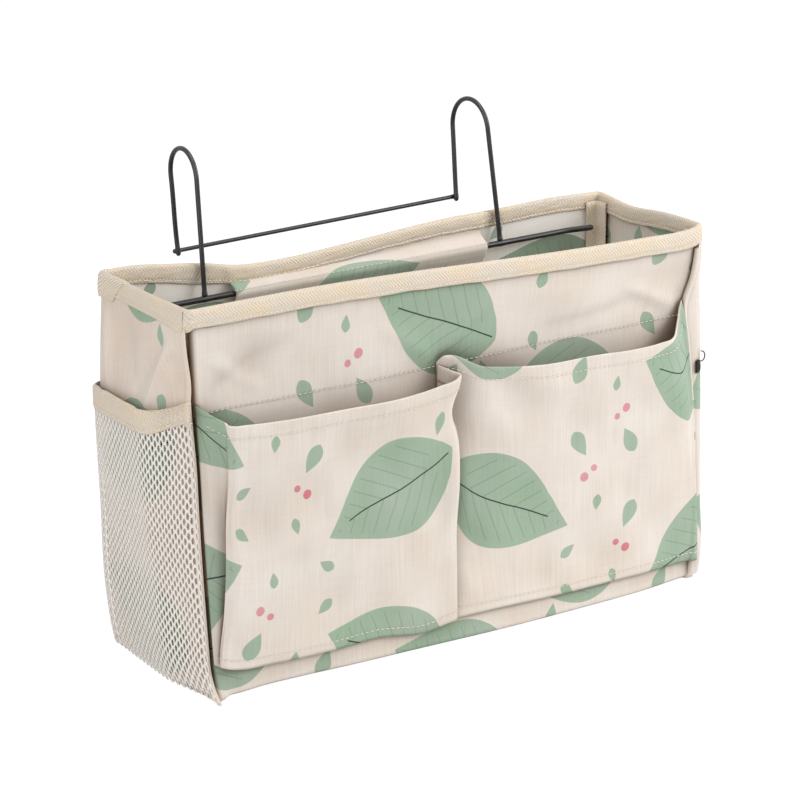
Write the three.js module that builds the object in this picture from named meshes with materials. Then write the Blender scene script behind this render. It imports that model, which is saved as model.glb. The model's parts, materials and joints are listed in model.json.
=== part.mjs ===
// Bedside caddy: a stiffened canvas box with a bound rim, two bellows pockets on its front and a net pocket on its
// left side. A welded wire frame lies in a sleeve on the inside of the back wall and hooks over a bed rail.
// Millimetres, +Z up. The origin is the middle of the base, on the surface that the caddy stands on.
// The front faces -Y, and +X is to the right when seen from the front.
import * as THREE from "three";

// Driving dimensions of the canvas box
const bagWidth = 386;
const bagDepth = 112;
const bagHeight = 239;
const sideTaper = 5;
const baseWidth = bagWidth - 2 * sideTaper;
const canvas = 1.8;
const clearance = 0.3;

// The twill tape folded over the rim, and the tape on the four inside seams
const tapeWidth = 15;
const tapeThickness = 1.1;
const seamTapeWidth = 11;
const seamTapeThickness = 1.6;
const seamTapeFoot = 8;

// The two front pockets
const pocketCloth = 1.2;
const pocketDrop = 66;
const pocketHem = bagHeight - pocketDrop;
const pocketFoot = 9;
const pocketBulge = 16;
const pocketCornerRise = 11;
const pocketFoldLift = 3;
const pocketEdgeInset = 2.5;
const pocketDivide = -15.2;
const pocketDivideGap = 5;

// The net pocket on the left side
const netThickness = 0.9;
const netFoot = 4;
const netDrop = 68;
const netMouth = bagHeight - netDrop;
const netMouthRise = 15.2;
const netBulge = 11;
const netEdgeInset = 2;
const netTapeWidth = 15;
const netTapeThickness = 2;
const netColumnCount = 12;
const netRowCount = 17;
const netGapShare = 0.72;

// The sleeve that holds the wire frame's lower bar
const sleeveWidth = 192;
const sleevePlace = -3;
const sleeveCloth = 1.2;
const sleeveSkirt = 27.7;
const sleeveBarClearance = 0.5;
const sleeveShoulderShare = 1.35;
const sleeveHeelShare = 1.7;

// The wire frame
const barDiameter = 4;
const barBelowTape = 8.3;
const barHeight = bagHeight - tapeWidth - barBelowTape;
const barEndGap = 7.7;
const barEndRun = 17;
const barEndSetback = 6;
const wireDiameter = 3.4;
const crossbarDiameter = 3;
const crossbarOverhang = 1.5;
const leftHookGap = 21;
const rightHookGap = 12.8;
const hookReach = 38.2;
const hookRise = 95;
const hookInward = 6;
const hookTailEnd = 24.6;
const crossbarAboveTail = 3.4;
const frameLean = THREE.MathUtils.degToRad(7.6);

// The small black hook on the right side
const sideHookHeight = 135.5;
const sideHookSetback = 7;
const sideTabLength = 10;
const sideTabWidth = 6;
const sideTabThickness = 1.6;
const sideHookWire = 0.9;
const sideHookReach = 6;
const sideHookSpan = 8;

const roundSideCount = 10;
const colours = {
  canvas: 0xe9dfd5,
  tape: 0xead9c2,
  net: 0xefe6df,
  wire: 0x23211f,
};
const caddy = new THREE.Group();

function cloth(colour) {
  return new THREE.MeshStandardMaterial({ color: colour, roughness: 0.95, metalness: 0 });
}

function paint(colour) {
  return new THREE.MeshStandardMaterial({ color: colour, roughness: 0.35, metalness: 0.6 });
}

function add(name, geometry, material, parent = caddy) {
  const mesh = new THREE.Mesh(geometry, material);
  mesh.name = name;
  parent.add(mesh);
  return mesh;
}

// Half of the bag's outer width at a height: the side walls lean out towards the rim.
function halfWidthAt(z) {
  return THREE.MathUtils.lerp(baseWidth / 2, bagWidth / 2, z / bagHeight);
}

// What the wire frame takes from the bag and from the sleeve
const barLength = 2 * (halfWidthAt(barHeight) - canvas - barEndGap);
const leftHookPlace = sleevePlace - sleeveWidth / 2 - leftHookGap;
const rightHookPlace = sleevePlace + sleeveWidth / 2 + rightHookGap;
const crossbarRise = hookTailEnd + crossbarAboveTail;

// A closed body from its corner points and triangles, turned right side out if need be.
function bodyFrom(points, triangles) {
  let volume = 0;
  for (const [a, b, c] of triangles) {
    volume += points[a].dot(new THREE.Vector3().crossVectors(points[b], points[c]));
  }
  const facing = volume < 0 ? triangles.map(([a, b, c]) => [a, c, b]) : triangles;
  const geometry = new THREE.BufferGeometry().setFromPoints(points);
  geometry.setIndex(facing.flat());
  geometry.computeVertexNormals();
  return geometry;
}

// A solid between outlines of the same count of points, with a flat cap on the first and the last.
function loft(outlines, capPlane) {
  const count = outlines[0].length;
  const points = outlines.flat();
  const triangles = [];
  for (let ring = 0; ring + 1 < outlines.length; ring++) {
    for (let i = 0; i < count; i++) {
      const a = ring * count + i;
      const b = ring * count + ((i + 1) % count);
      triangles.push([a, b, b + count], [a, b + count, a + count]);
    }
  }
  const flat = outlines[0].map((p) => new THREE.Vector2(p[capPlane[0]], p[capPlane[1]]));
  const last = (outlines.length - 1) * count;
  const clockwise = THREE.ShapeUtils.isClockWise(flat);
  for (const triangle of THREE.ShapeUtils.triangulateShape(flat, [])) {
    const [a, b, c] = clockwise ? triangle.toReversed() : triangle;
    triangles.push([a, c, b], [last + a, last + b, last + c]);
  }
  return bodyFrom(points, triangles);
}

// The grid of a cloth's middle surface, with its two faces half a thickness to each side.
function clothLayers(place, across, up, thickness) {
  const middle = [];
  for (let j = 0; j <= up; j++) {
    for (let i = 0; i <= across; i++) middle.push(place(i / across, j / up));
  }
  const at = (i, j) => j * (across + 1) + i;
  const front = [];
  const back = [];
  for (let j = 0; j <= up; j++) {
    for (let i = 0; i <= across; i++) {
      const along = middle[at(Math.min(i + 1, across), j)].clone().sub(middle[at(Math.max(i - 1, 0), j)]);
      const rise = middle[at(i, Math.min(j + 1, up))].clone().sub(middle[at(i, Math.max(j - 1, 0))]);
      const half = along.cross(rise).normalize().multiplyScalar(thickness / 2);
      front.push(middle[at(i, j)].clone().add(half));
      back.push(middle[at(i, j)].clone().sub(half));
    }
  }
  return { points: [...front, ...back], at, backFrom: front.length };
}

// The strip of triangles that closes a cloth's outer edge between its two faces.
function edgeTriangles({ at, backFrom }, across, up) {
  const loop = [];
  for (let i = 0; i < across; i++) loop.push(at(i, 0));
  for (let j = 0; j < up; j++) loop.push(at(across, j));
  for (let i = across; i > 0; i--) loop.push(at(i, up));
  for (let j = up; j > 0; j--) loop.push(at(0, j));
  return loop.flatMap((a, k) => {
    const b = loop[(k + 1) % loop.length];
    return [
      [a, backFrom + a, backFrom + b],
      [a, backFrom + b, b],
    ];
  });
}

function clothSheet(place, across, up, thickness) {
  const layers = clothLayers(place, across, up, thickness);
  const { points, at, backFrom } = layers;
  const triangles = edgeTriangles(layers, across, up);
  for (let j = 0; j < up; j++) {
    for (let i = 0; i < across; i++) {
      const [a, b, c, d] = [at(i, j), at(i + 1, j), at(i + 1, j + 1), at(i, j + 1)];
      triangles.push([a, b, c], [a, c, d]);
      triangles.push([backFrom + a, backFrom + c, backFrom + b], [backFrom + a, backFrom + d, backFrom + c]);
    }
  }
  return bodyFrom(points, triangles);
}

// A cloth whose every cell has a diamond gap, as a knitted net has.
function netSheet(place, across, up, thickness, gapShare) {
  const layers = clothLayers(place, across, up, thickness);
  const { points, at, backFrom } = layers;
  const triangles = edgeTriangles(layers, across, up);
  for (let j = 0; j < up; j++) {
    for (let i = 0; i < across; i++) {
      const corners = [at(i, j), at(i + 1, j), at(i + 1, j + 1), at(i, j + 1)];
      const rims = [0, backFrom].map((layer) => {
        const centre = new THREE.Vector3();
        corners.forEach((c) => centre.addScaledVector(points[layer + c], 1 / corners.length));
        return corners.map((c, k) => {
          const edge = points[layer + c].clone().lerp(points[layer + corners[(k + 1) % 4]], 0.5);
          points.push(centre.clone().lerp(edge, gapShare));
          return points.length - 1;
        });
      });
      for (let k = 0; k < 4; k++) {
        const n = (k + 1) % 4;
        const [c, d] = [corners[k], corners[n]];
        const [[p, q], [r, s]] = [
          [rims[0][k], rims[0][n]],
          [rims[1][k], rims[1][n]],
        ];
        triangles.push([c, d, p], [d, q, p]);
        triangles.push([backFrom + c, r, backFrom + d], [backFrom + d, r, s]);
        triangles.push([p, q, s], [p, s, r]);
      }
    }
  }
  return bodyFrom(points, triangles);
}

// Places shares from a table at an even step, so that a sheet's columns can follow them.
function shareAt(shares, u, column) {
  const step = u * (shares.length - 1);
  const i = Math.min(Math.floor(step), shares.length - 2);
  return THREE.MathUtils.lerp(shares[i][column], shares[i + 1][column], step - i);
}

// Canvas walls and base, edge to edge
function addWalls() {
  const wallTop = bagHeight - tapeThickness - clearance;
  for (const [name, side] of [
    ["front_panel", -1],
    ["back_panel", 1],
  ]) {
    const outer = (side * bagDepth) / 2;
    const inner = outer - side * canvas;
    const outline = (y) => [
      new THREE.Vector3(-halfWidthAt(0), y, 0),
      new THREE.Vector3(halfWidthAt(0), y, 0),
      new THREE.Vector3(halfWidthAt(wallTop), y, wallTop),
      new THREE.Vector3(-halfWidthAt(wallTop), y, wallTop),
    ];
    add(name, loft([outline(outer), outline(inner)], ["x", "z"]), cloth(colours.canvas));
  }
  for (const [name, side] of [
    ["left_side_panel", -1],
    ["right_side_panel", 1],
  ]) {
    const reach = bagDepth / 2 - canvas - clearance;
    const outline = (y) => [
      new THREE.Vector3(side * halfWidthAt(0), y, 0),
      new THREE.Vector3(side * halfWidthAt(wallTop), y, wallTop),
      new THREE.Vector3(side * (halfWidthAt(wallTop) - canvas), y, wallTop),
      new THREE.Vector3(side * (halfWidthAt(0) - canvas), y, 0),
    ];
    add(name, loft([outline(-reach), outline(reach)], ["x", "z"]), cloth(colours.canvas));
  }
  const seam = 2 * (canvas + clearance);
  const base = new THREE.BoxGeometry(baseWidth - seam, bagDepth - seam, canvas);
  add("base_panel", base, cloth(colours.canvas)).position.z = canvas / 2;
}

// The rim tape: an upturned channel over each wall's top edge, mitred at the corners.
function addRimTape() {
  const fold = tapeThickness + clearance;
  const channel = (outer, top) => [
    [outer + fold, top - tapeWidth],
    [outer + fold, top],
    [outer - canvas - fold, top],
    [outer - canvas - fold, top - tapeWidth],
    [outer - canvas - clearance, top - tapeWidth],
    [outer - canvas - clearance, top - tapeThickness],
    [outer + clearance, top - tapeThickness],
    [outer + clearance, top - tapeWidth],
  ];
  const mitre = clearance / 2;
  const wallX = (z) => halfWidthAt(z);
  for (const [name, side] of [
    ["rim_tape_front", -1],
    ["rim_tape_back", 1],
  ]) {
    const end = (way) =>
      channel(bagDepth / 2, bagHeight).map(
        ([d, z]) => new THREE.Vector3(way * (wallX(z) + d - bagDepth / 2 - mitre), side * d, z),
      );
    add(name, loft([end(-1), end(1)], ["y", "z"]), cloth(colours.tape));
  }
  for (const [name, side] of [
    ["rim_tape_left", -1],
    ["rim_tape_right", 1],
  ]) {
    const end = (way) =>
      channel(0, bagHeight).map(
        ([d, z]) => new THREE.Vector3(side * (wallX(z) + d), way * (bagDepth / 2 + d - mitre), z),
      );
    add(name, loft([end(-1), end(1)], ["x", "z"]), cloth(colours.tape));
  }
}

// The tape that binds each inside corner seam lies flat on the front or the back wall.
function addSeamTapes() {
  const top = bagHeight - tapeWidth - clearance;
  const face = bagDepth / 2 - canvas - clearance;
  for (const [name, sx, sy] of [
    ["seam_tape_front_left", -1, -1],
    ["seam_tape_front_right", 1, -1],
    ["seam_tape_back_left", -1, 1],
    ["seam_tape_back_right", 1, 1],
  ]) {
    const section = (z) => {
      const corner = halfWidthAt(z) - canvas - clearance;
      return [
        [corner, face],
        [corner, face - seamTapeThickness],
        [corner - seamTapeWidth, face - seamTapeThickness],
        [corner - seamTapeWidth, face],
      ].map(([x, y]) => new THREE.Vector3(sx * x, sy * y, z));
    };
    add(name, loft([section(seamTapeFoot), section(top)], ["x", "y"]), cloth(colours.tape));
  }
}

// Where each column of a front pocket stands: its share of the pocket's width at the foot and at the mouth,
// its share of the bulge, of the rise towards a seam, and of the lift that lays a fold over its neighbour.
const leftPocketShares = [
  [0, 0, 0, 1, 0],
  [0.035, 0.036, 0.5, 0.5, 0],
  [0.066, 0.072, 1, 0, 0],
  [0.2, 0.2, 1.04, -0.04, 0.1],
  [0.4, 0.4, 1.08, -0.05, 0.3],
  [0.6, 0.6, 1.1, 0, 0.6],
  [0.8, 0.8, 1.1, 0.1, 0.9],
  [1.065, 1.035, 1.06, 0.2, 1],
  [1.026, 1.018, 0.5, 0.4, 0.5],
  [1, 1, 0, 0.6, 0],
];
const rightPocketShares = [
  [0, 0, 0, 0.8, 0],
  [0.03, 0.03, 0.2, 0.62, 0],
  [0.079, 0.079, 0.5, 0.48, 0],
  [0.25, 0.25, 0.82, 0.25, 0],
  [0.4, 0.4, 0.96, 0.16, 0],
  [0.6, 0.6, 1.05, 0.02, 0],
  [0.8, 0.78, 1.06, -0.08, 0],
  [0.964, 0.885, 1, -0.1, 0],
  [0.982, 0.945, 0.5, 0.4, 0],
  [1, 1, 0, 1, 0],
];

// How far a pocket bellies out, by its share of the height: soon above its foot, then evenly up to its mouth.
const bellyShare = 0.7;
function bellyAt(v) {
  return THREE.MathUtils.lerp(v, Math.sqrt(v), bellyShare);
}

function frontPocketPoint(shares, fromX, toX, u, v) {
  const atFoot = shareAt(shares, u, 0);
  const atMouth = shareAt(shares, u, 1);
  const bulge = pocketBulge * shareAt(shares, u, 2) * bellyAt(v);
  const rise = pocketCornerRise * shareAt(shares, u, 3);
  const lift = pocketFoldLift * shareAt(shares, u, 4) * (1 - v);
  const z = pocketFoot + v * (pocketHem + rise - pocketFoot);
  const x = THREE.MathUtils.lerp(fromX(z), toX(z), THREE.MathUtils.lerp(atFoot, atMouth, v));
  return new THREE.Vector3(x, -bagDepth / 2 - clearance - pocketCloth / 2 - bulge - lift, z);
}

function addFrontPockets() {
  const edge = (z) => halfWidthAt(z) - pocketEdgeInset;
  const rowCount = 7;
  const left = (u, v) =>
    frontPocketPoint(leftPocketShares, (z) => -edge(z), () => pocketDivide - pocketDivideGap / 2, u, v);
  const right = (u, v) =>
    frontPocketPoint(rightPocketShares, () => pocketDivide + pocketDivideGap / 2, edge, u, v);
  const material = cloth(colours.canvas);
  add("front_pocket_left", clothSheet(left, leftPocketShares.length - 1, rowCount, pocketCloth), material);
  add("front_pocket_right", clothSheet(right, rightPocketShares.length - 1, rowCount, pocketCloth), material);
}

// The net pocket's middle surface: across runs from the back seam to the front seam, and z is the height.
function netPoint(across, z, thickness) {
  const open = THREE.MathUtils.clamp((z - netFoot) / (netMouth - netFoot), 0, 1);
  const bulge = netBulge * bellyAt(open) * Math.sin(Math.PI * across);
  const reach = bagDepth / 2 - netEdgeInset;
  const y = THREE.MathUtils.lerp(reach, -reach, across);
  return new THREE.Vector3(-halfWidthAt(z) - clearance - thickness / 2 - bulge, y, z);
}

// The mouth climbs gently from the back, and steeply at the front seam: shares of the rise, at even steps.
const netMouthShares = [[0], [0.13], [0.23], [0.32], [0.38], [0.63], [1]];
function netMouthAt(across) {
  return netMouth + netMouthRise * shareAt(netMouthShares, across, 0);
}

function addNetPocket() {
  const netTop = (across) => netMouthAt(across) - netTapeWidth - clearance;
  const netPlace = (u, v) => netPoint(u, THREE.MathUtils.lerp(netFoot, netTop(u), v), netTapeThickness);
  add(
    "net_pocket",
    netSheet(netPlace, netColumnCount, netRowCount, netThickness, netGapShare),
    cloth(colours.net),
  );
  const tapePlace = (u, v) =>
    netPoint(u, THREE.MathUtils.lerp(netMouthAt(u) - netTapeWidth, netMouthAt(u), v), netTapeThickness);
  add("net_pocket_tape", clothSheet(tapePlace, netColumnCount, 1, netTapeThickness), cloth(colours.tape));
}

// The lower bar stands off the back wall so that the leaning hook wires just clear the rim tape.
const tapeInnerFace = bagDepth / 2 - canvas - clearance - tapeThickness;
const barSetback =
  tapeInnerFace -
  clearance -
  wireDiameter / 2 / Math.cos(frameLean) -
  (bagHeight - barHeight) * Math.tan(frameLean);

// The sleeve lies flat on the back wall above and below, and bulges forwards round the bar between.
function addSleeve() {
  const wallFace = bagDepth / 2 - canvas - clearance;
  const flatFront = wallFace - sleeveCloth;
  const inside = barDiameter / 2 + sleeveBarClearance;
  const outside = inside + sleeveCloth;
  const top = bagHeight - tapeWidth - clearance;
  const sleeveFoot = barHeight - sleeveSkirt;
  const shoulder = Math.min(barHeight + outside * sleeveShoulderShare, top - clearance);
  const heel = barHeight - outside * sleeveHeelShare;
  const bend = Math.SQRT1_2;
  const profile = [
    [wallFace, sleeveFoot],
    [flatFront, sleeveFoot],
    [flatFront, heel],
    [barSetback - outside * bend, barHeight - outside * bend],
    [barSetback - outside, barHeight],
    [barSetback - outside * bend, barHeight + outside * bend],
    [flatFront, shoulder],
    [flatFront, top],
    [wallFace, top],
    [wallFace, shoulder - clearance],
    [barSetback - inside * bend, barHeight + inside * bend],
    [barSetback - inside, barHeight],
    [barSetback - inside * bend, barHeight - inside * bend],
    [wallFace, heel + clearance],
  ];
  const end = (x) => profile.map(([y, z]) => new THREE.Vector3(x, y, z));
  const patch = loft([end(-sleeveWidth / 2), end(sleeveWidth / 2)], ["y", "z"]);
  add("bar_sleeve", patch, cloth(colours.canvas)).position.x = sleevePlace;
}

// A round wire along a curve
function wire(curve, diameter, steps, sideCount = roundSideCount) {
  const section = new THREE.Shape();
  section.absarc(0, 0, diameter / 2, 0, 2 * Math.PI, false);
  return new THREE.ExtrudeGeometry(section, {
    curveSegments: sideCount / 2,
    steps,
    extrudePath: curve,
  });
}

// The hook's line: up from the bar, over a half circle and down to its tail, drifting inwards all the way.
class HookLine extends THREE.Curve {
  constructor(start, rise, reach, tail, inward) {
    super();
    Object.assign(this, { start, rise, reach, tail, inward });
  }
  getPoint(t, target = new THREE.Vector3()) {
    const radius = this.reach / 2;
    const legTop = this.rise - radius;
    const front = legTop - this.start;
    const bend = Math.PI * radius;
    const along = t * (front + bend + legTop - this.tail);
    const x = t * this.inward;
    if (along < front) return target.set(x, 0, this.start + along);
    if (along > front + bend) return target.set(x, this.reach, legTop - (along - front - bend));
    const angle = (along - front) / radius;
    return target.set(x, radius * (1 - Math.cos(angle)), legTop + radius * Math.sin(angle));
  }
}

// The lower bar's line: straight, with both ends curving forwards so that they don't catch the cloth.
class BarLine extends THREE.Curve {
  getPoint(t, target = new THREE.Vector3()) {
    const x = (t - 0.5) * barLength;
    const past = Math.max(0, Math.abs(x) - (barLength / 2 - barEndRun)) / barEndRun;
    return target.set(x, -barEndSetback * past * past, 0);
  }
}

function addWireFrame() {
  const frame = new THREE.Group();
  frame.position.set(0, barSetback, barHeight);
  frame.rotation.x = -frameLean;
  caddy.add(frame);
  const dark = paint(colours.wire);
  const bar = new THREE.Group();
  bar.position.copy(frame.position);
  caddy.add(bar);
  add("frame_bar", wire(new BarLine(), barDiameter, 46), dark, bar);
  const foot = barDiameter / 2 + clearance;
  for (const [name, x, inward] of [
    ["hook_left", leftHookPlace, hookInward],
    ["hook_right", rightHookPlace, -hookInward],
  ]) {
    const line = new HookLine(foot, hookRise, hookReach, hookTailEnd, inward);
    add(name, wire(line, wireDiameter, 44), dark, frame).position.x = x;
  }
  const span = rightHookPlace - leftHookPlace - 2 * hookInward + 2 * crossbarOverhang + wireDiameter;
  const cross = new THREE.CylinderGeometry(crossbarDiameter / 2, crossbarDiameter / 2, span, roundSideCount);
  cross.rotateZ(Math.PI / 2);
  const crossbar = add("hook_crossbar", cross, dark, frame);
  const behind = hookReach + (wireDiameter + crossbarDiameter) / 2 + clearance;
  crossbar.position.set((leftHookPlace + rightHookPlace) / 2, behind, crossbarRise);
}

// A black tab sewn to the right side panel by the front seam, with a bent wire hook in it
function addSideHook() {
  const wall = halfWidthAt(sideHookHeight);
  const y = -bagDepth / 2 + canvas + sideHookSetback;
  const tab = new THREE.BoxGeometry(sideTabThickness, sideTabWidth, sideTabLength);
  const group = new THREE.Group();
  const lean = Math.atan(sideTaper / bagHeight);
  group.position.set(wall + clearance + sideTabThickness / 2, y, sideHookHeight);
  group.rotation.y = lean;
  caddy.add(group);
  add("side_tab", tab, cloth(colours.wire), group);
  const top = sideTabLength / 2 + clearance;
  const line = new THREE.CatmullRomCurve3([
    new THREE.Vector3(0, 0, top),
    new THREE.Vector3(sideHookReach / 2, 0, top + sideHookSpan / 6),
    new THREE.Vector3(sideHookReach, 0, top + sideHookSpan / 2),
    new THREE.Vector3(sideHookReach / 2, 0, top + (sideHookSpan * 5) / 6),
    new THREE.Vector3(sideHookWire / 2, 0, top + sideHookSpan),
  ]);
  add("side_hook", wire(line, sideHookWire, 16, 8), paint(colours.wire), group);
}

addWalls();
addRimTape();
addSeamTapes();
addFrontPockets();
addNetPocket();
addSleeve();
addWireFrame();
addSideHook();

export default caddy;
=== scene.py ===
# %% [markdown]
# # A bedside caddy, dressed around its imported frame
# The caddy is an open canvas box with a taped rim, two bellows pockets on its front, a net pocket on its left
# side and a wire frame that hooks over a bed rail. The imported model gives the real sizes. This script leaves
# that frame as it is and makes the cloth, tape, net, thread and wire that the eye sees. Loading it comes
# first, because every piece takes its place from it.

# %% Load the frame
import json
import math
from functools import partialmethod

import bpy
import numpy as np
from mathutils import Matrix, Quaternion, Vector


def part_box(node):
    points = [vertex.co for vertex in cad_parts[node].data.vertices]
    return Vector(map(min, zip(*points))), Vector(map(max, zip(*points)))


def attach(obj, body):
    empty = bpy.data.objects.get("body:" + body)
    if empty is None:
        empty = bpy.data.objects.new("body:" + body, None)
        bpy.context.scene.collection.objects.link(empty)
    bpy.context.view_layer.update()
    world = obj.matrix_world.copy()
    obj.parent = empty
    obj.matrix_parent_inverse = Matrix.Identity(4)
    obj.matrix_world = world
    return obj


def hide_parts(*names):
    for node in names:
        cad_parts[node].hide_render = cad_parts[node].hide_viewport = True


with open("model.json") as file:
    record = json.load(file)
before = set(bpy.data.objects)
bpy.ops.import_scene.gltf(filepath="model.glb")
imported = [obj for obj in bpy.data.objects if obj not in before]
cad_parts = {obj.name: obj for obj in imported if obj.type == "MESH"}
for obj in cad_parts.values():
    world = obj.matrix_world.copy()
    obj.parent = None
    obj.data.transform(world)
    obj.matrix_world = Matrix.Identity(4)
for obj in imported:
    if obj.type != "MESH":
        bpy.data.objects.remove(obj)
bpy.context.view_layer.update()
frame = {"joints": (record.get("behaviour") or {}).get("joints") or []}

# %% [markdown]
# The shapes below are worked out in millimetres, as a bag maker would note them, and turned to Blender's metres
# only when a mesh is made. The main sizes are read from the frame's boxes instead of being typed again.

# %% Sizes from the frame
MM = 0.001


def box_mm(node):
    low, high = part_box(node)
    return np.array(low) / MM, np.array(high) / MM


RIM = box_mm("rim_tape_front")[1][2]
HALF_DEPTH = -box_mm("front_panel")[0][1]
HALF_RIM = box_mm("front_panel")[1][0]
SIDE_TAPER = 5
CANVAS = 1.8
BAR_Y, BAR_Z = (value / MM for value in frame["joints"][0]["pos_m"][1:])
print(f"rim {RIM:.1f} high, {2 * HALF_RIM:.0f} wide, {2 * HALF_DEPTH:.0f} deep, bar at {BAR_Z:.1f} mm")

# %% [markdown]
# The camera comes before any shape, so that each piece can be compared with the photograph from the first
# render. A long lens from over two metres away keeps the edges nearly parallel, as product photographs do.

# %% Camera
AZIMUTH, ELEVATION, ROLL = (math.radians(angle) for angle in (-33.9, 17.28, -0.81))
CAMERA_DISTANCE = 2.266
CAMERA_TARGET = Vector((-0.0072, 0, 0.141))
LENS = 160.9

camera = bpy.data.objects.new("camera", bpy.data.cameras.new("camera"))
bpy.context.scene.collection.objects.link(camera)
back = Vector((math.sin(AZIMUTH) * math.cos(ELEVATION), -math.cos(AZIMUTH) * math.cos(ELEVATION),
               math.sin(ELEVATION)))
camera.location = CAMERA_TARGET + back * CAMERA_DISTANCE
camera.rotation_mode = "QUATERNION"
camera.rotation_quaternion = back.to_track_quat("Z", "Y") @ Quaternion((0, 0, 1), ROLL)
camera.data.lens = LENS
bpy.context.scene.camera = camera
print("camera at", [round(value, 3) for value in camera.location])

# %% [markdown]
# The stage is a plain pale floor under soft light. Big lamps far away give the soft shadows of a light tent.
# The white background isn't made with more light, which would wash out the pale canvas: the floor and the
# world turn white for rays that come straight from the camera, and the world for mirrored rays too.

# %% Stage: lamps
LAMPS = (("key_lamp", (1.15, -0.8, 0.85), 0.9, 14), ("fill_lamp", (-1.9, -0.8, 0.9), 1.4, 15.5),
         ("top_lamp", (-0.1, -0.3, 2.1), 1.2, 15))

for name, place, size, power in LAMPS:
    light = bpy.data.lights.new(name, "AREA")
    light.size = size
    light.energy = power
    holder = bpy.data.objects.new(name, light)
    bpy.context.scene.collection.objects.link(holder)
    holder.location = place
    holder.rotation_euler = (Vector(place) - CAMERA_TARGET).to_track_quat("Z", "Y").to_euler()
bpy.context.scene.view_settings.view_transform = "Standard"

# %% [markdown]
# Shader maths reads badly as a pile of nodes. The small class below wraps one socket, so that a pattern can be
# written as a plain expression: each operator adds the Math node that works it out. Every other kind of node
# comes from its one method, node().

# %% A number in a material
class Number:
    """A socket of a node tree, used like a number."""

    def __init__(self, tree, socket):
        self.tree = tree
        self.socket = socket

    def node(self, kind, settings=None, values=None, out=0):
        """Adds a node with these settings and input values or links, and returns one of its outputs."""
        made = self.tree.nodes.new(kind)
        for name, setting in (settings or {}).items():
            setattr(made, name, setting)
        for key, value in (values or {}).items():
            if isinstance(value, Number):
                self.tree.links.new(value.socket, made.inputs[key])
            else:
                made.inputs[key].default_value = value
        return Number(self.tree, made.outputs[out])

    def other_output(self, key):
        return Number(self.tree, self.socket.node.outputs[key])

    def math(self, operation, *others):
        return self.node("ShaderNodeMath", {"operation": operation}, dict(enumerate((self, *others))))

    def __rsub__(self, other):
        return self.node("ShaderNodeMath", {"operation": "SUBTRACT"}, {0: other, 1: self})

    def within(self, low, high):
        """0 below low, 1 above high, and a straight ramp between."""
        return self.node("ShaderNodeMapRange", None, {0: self, 1: low, 2: high})


OPERATIONS = {
    "__add__": "ADD", "__radd__": "ADD", "__sub__": "SUBTRACT", "__mul__": "MULTIPLY", "__rmul__": "MULTIPLY",
    "__truediv__": "DIVIDE", "__mod__": "FLOORED_MODULO", "__pow__": "POWER", "__abs__": "ABSOLUTE",
    "floor": "FLOOR", "sine": "SINE", "either": "MAXIMUM", "both": "MINIMUM"}
for method, operation in OPERATIONS.items():
    setattr(Number, method, partialmethod(Number.math, operation))
print("a Number knows", len(OPERATIONS), "operations")


# %% Helpers for materials
WHITE = (1, 1, 1, 1)


def start_material(name):
    """A new material, a first Number in its tree, and its Principled shader."""
    made = bpy.data.materials.new(name)
    made.use_nodes = True
    shader = made.node_tree.nodes["Principled BSDF"]
    return made, Number(made.node_tree, shader.outputs[0]), shader


def feed(start, shader, name, value):
    start.tree.links.new(value.socket, shader.inputs[name])


def settle(shader, values):
    for name, value in values.items():
        shader.inputs[name].default_value = value


def ink(*screen):
    """A colour as a screen shows it, 0 to 255, turned to the linear values that a shader takes."""
    return tuple(((c / 255 + 0.055) / 1.055) ** 2.4 if c > 10 else c / 255 / 12.92 for c in screen) + (1,)


def mixed(share, first, second, blend="MIX"):
    """One colour laid over another by a share."""
    return share.node("ShaderNodeMix", {"data_type": "RGBA", "blend_type": blend},
                      {0: share, 6: first, 7: second}, out=2)


print("black is", ink(0, 0, 0), "and white", ink(255, 255, 255))

# %% Stage: world and floor
WORLD_LIGHT = 0.28
FLOOR_SIZE = 9
FLOOR_COLOUR = (0.92, 0.92, 0.92, 1)
FLOOR_ROUGHNESS = 0.9
FLOOR_WHITE_SHARE = 0.82
FLOOR_GLOW = 1.16

world = bpy.data.worlds.new("world")
world.use_nodes = True
bpy.context.scene.world = world
background = world.node_tree.nodes["Background"]
path = world.node_tree.nodes.new("ShaderNodeLightPath")
camera_ray, glossy_ray, clear_ray = (
    Number(world.node_tree, path.outputs[f"Is {kind} Ray"]) for kind in ("Camera", "Glossy", "Transmission"))
straight = camera_ray.either(glossy_ray).either(clear_ray)
world.node_tree.links.new((straight * (1 - WORLD_LIGHT) + WORLD_LIGHT).socket, background.inputs["Strength"])
background.inputs["Color"].default_value = WHITE

bpy.ops.mesh.primitive_plane_add(size=FLOOR_SIZE)
floor = bpy.context.object
floor.name = "floor"
floor_material, floor_start, floor_shader = start_material("white_floor")
settle(floor_shader, {"Base Color": FLOOR_COLOUR, "Roughness": FLOOR_ROUGHNESS})
floor_path = floor_start.node("ShaderNodeLightPath")
glow = floor_start.node("ShaderNodeEmission", None, {"Color": WHITE, "Strength": FLOOR_GLOW})
cover = floor_start.node(
    "ShaderNodeMixShader", None, {0: floor_path * FLOOR_WHITE_SHARE, 1: floor_start, 2: glow})
feed(floor_start, floor_start.tree.nodes["Material Output"], "Surface", cover)
floor.data.materials.append(floor_material)
print("floor", FLOOR_SIZE, "m wide")

# %% [markdown]
# The canvas is a plain-weave cotton, printed before it was cut. Its print here is a half-drop repeat of broad
# sage leaves, small seeds and a few pink berries. An image would need a file, so the motifs are formulas: each
# one says how many millimetres inside its edge a point lies, and a narrow ramp turns that into ink. They read
# the piece's own UV map, which is laid out in metres of cloth, so a leaf bends and folds with its pocket.

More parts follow.
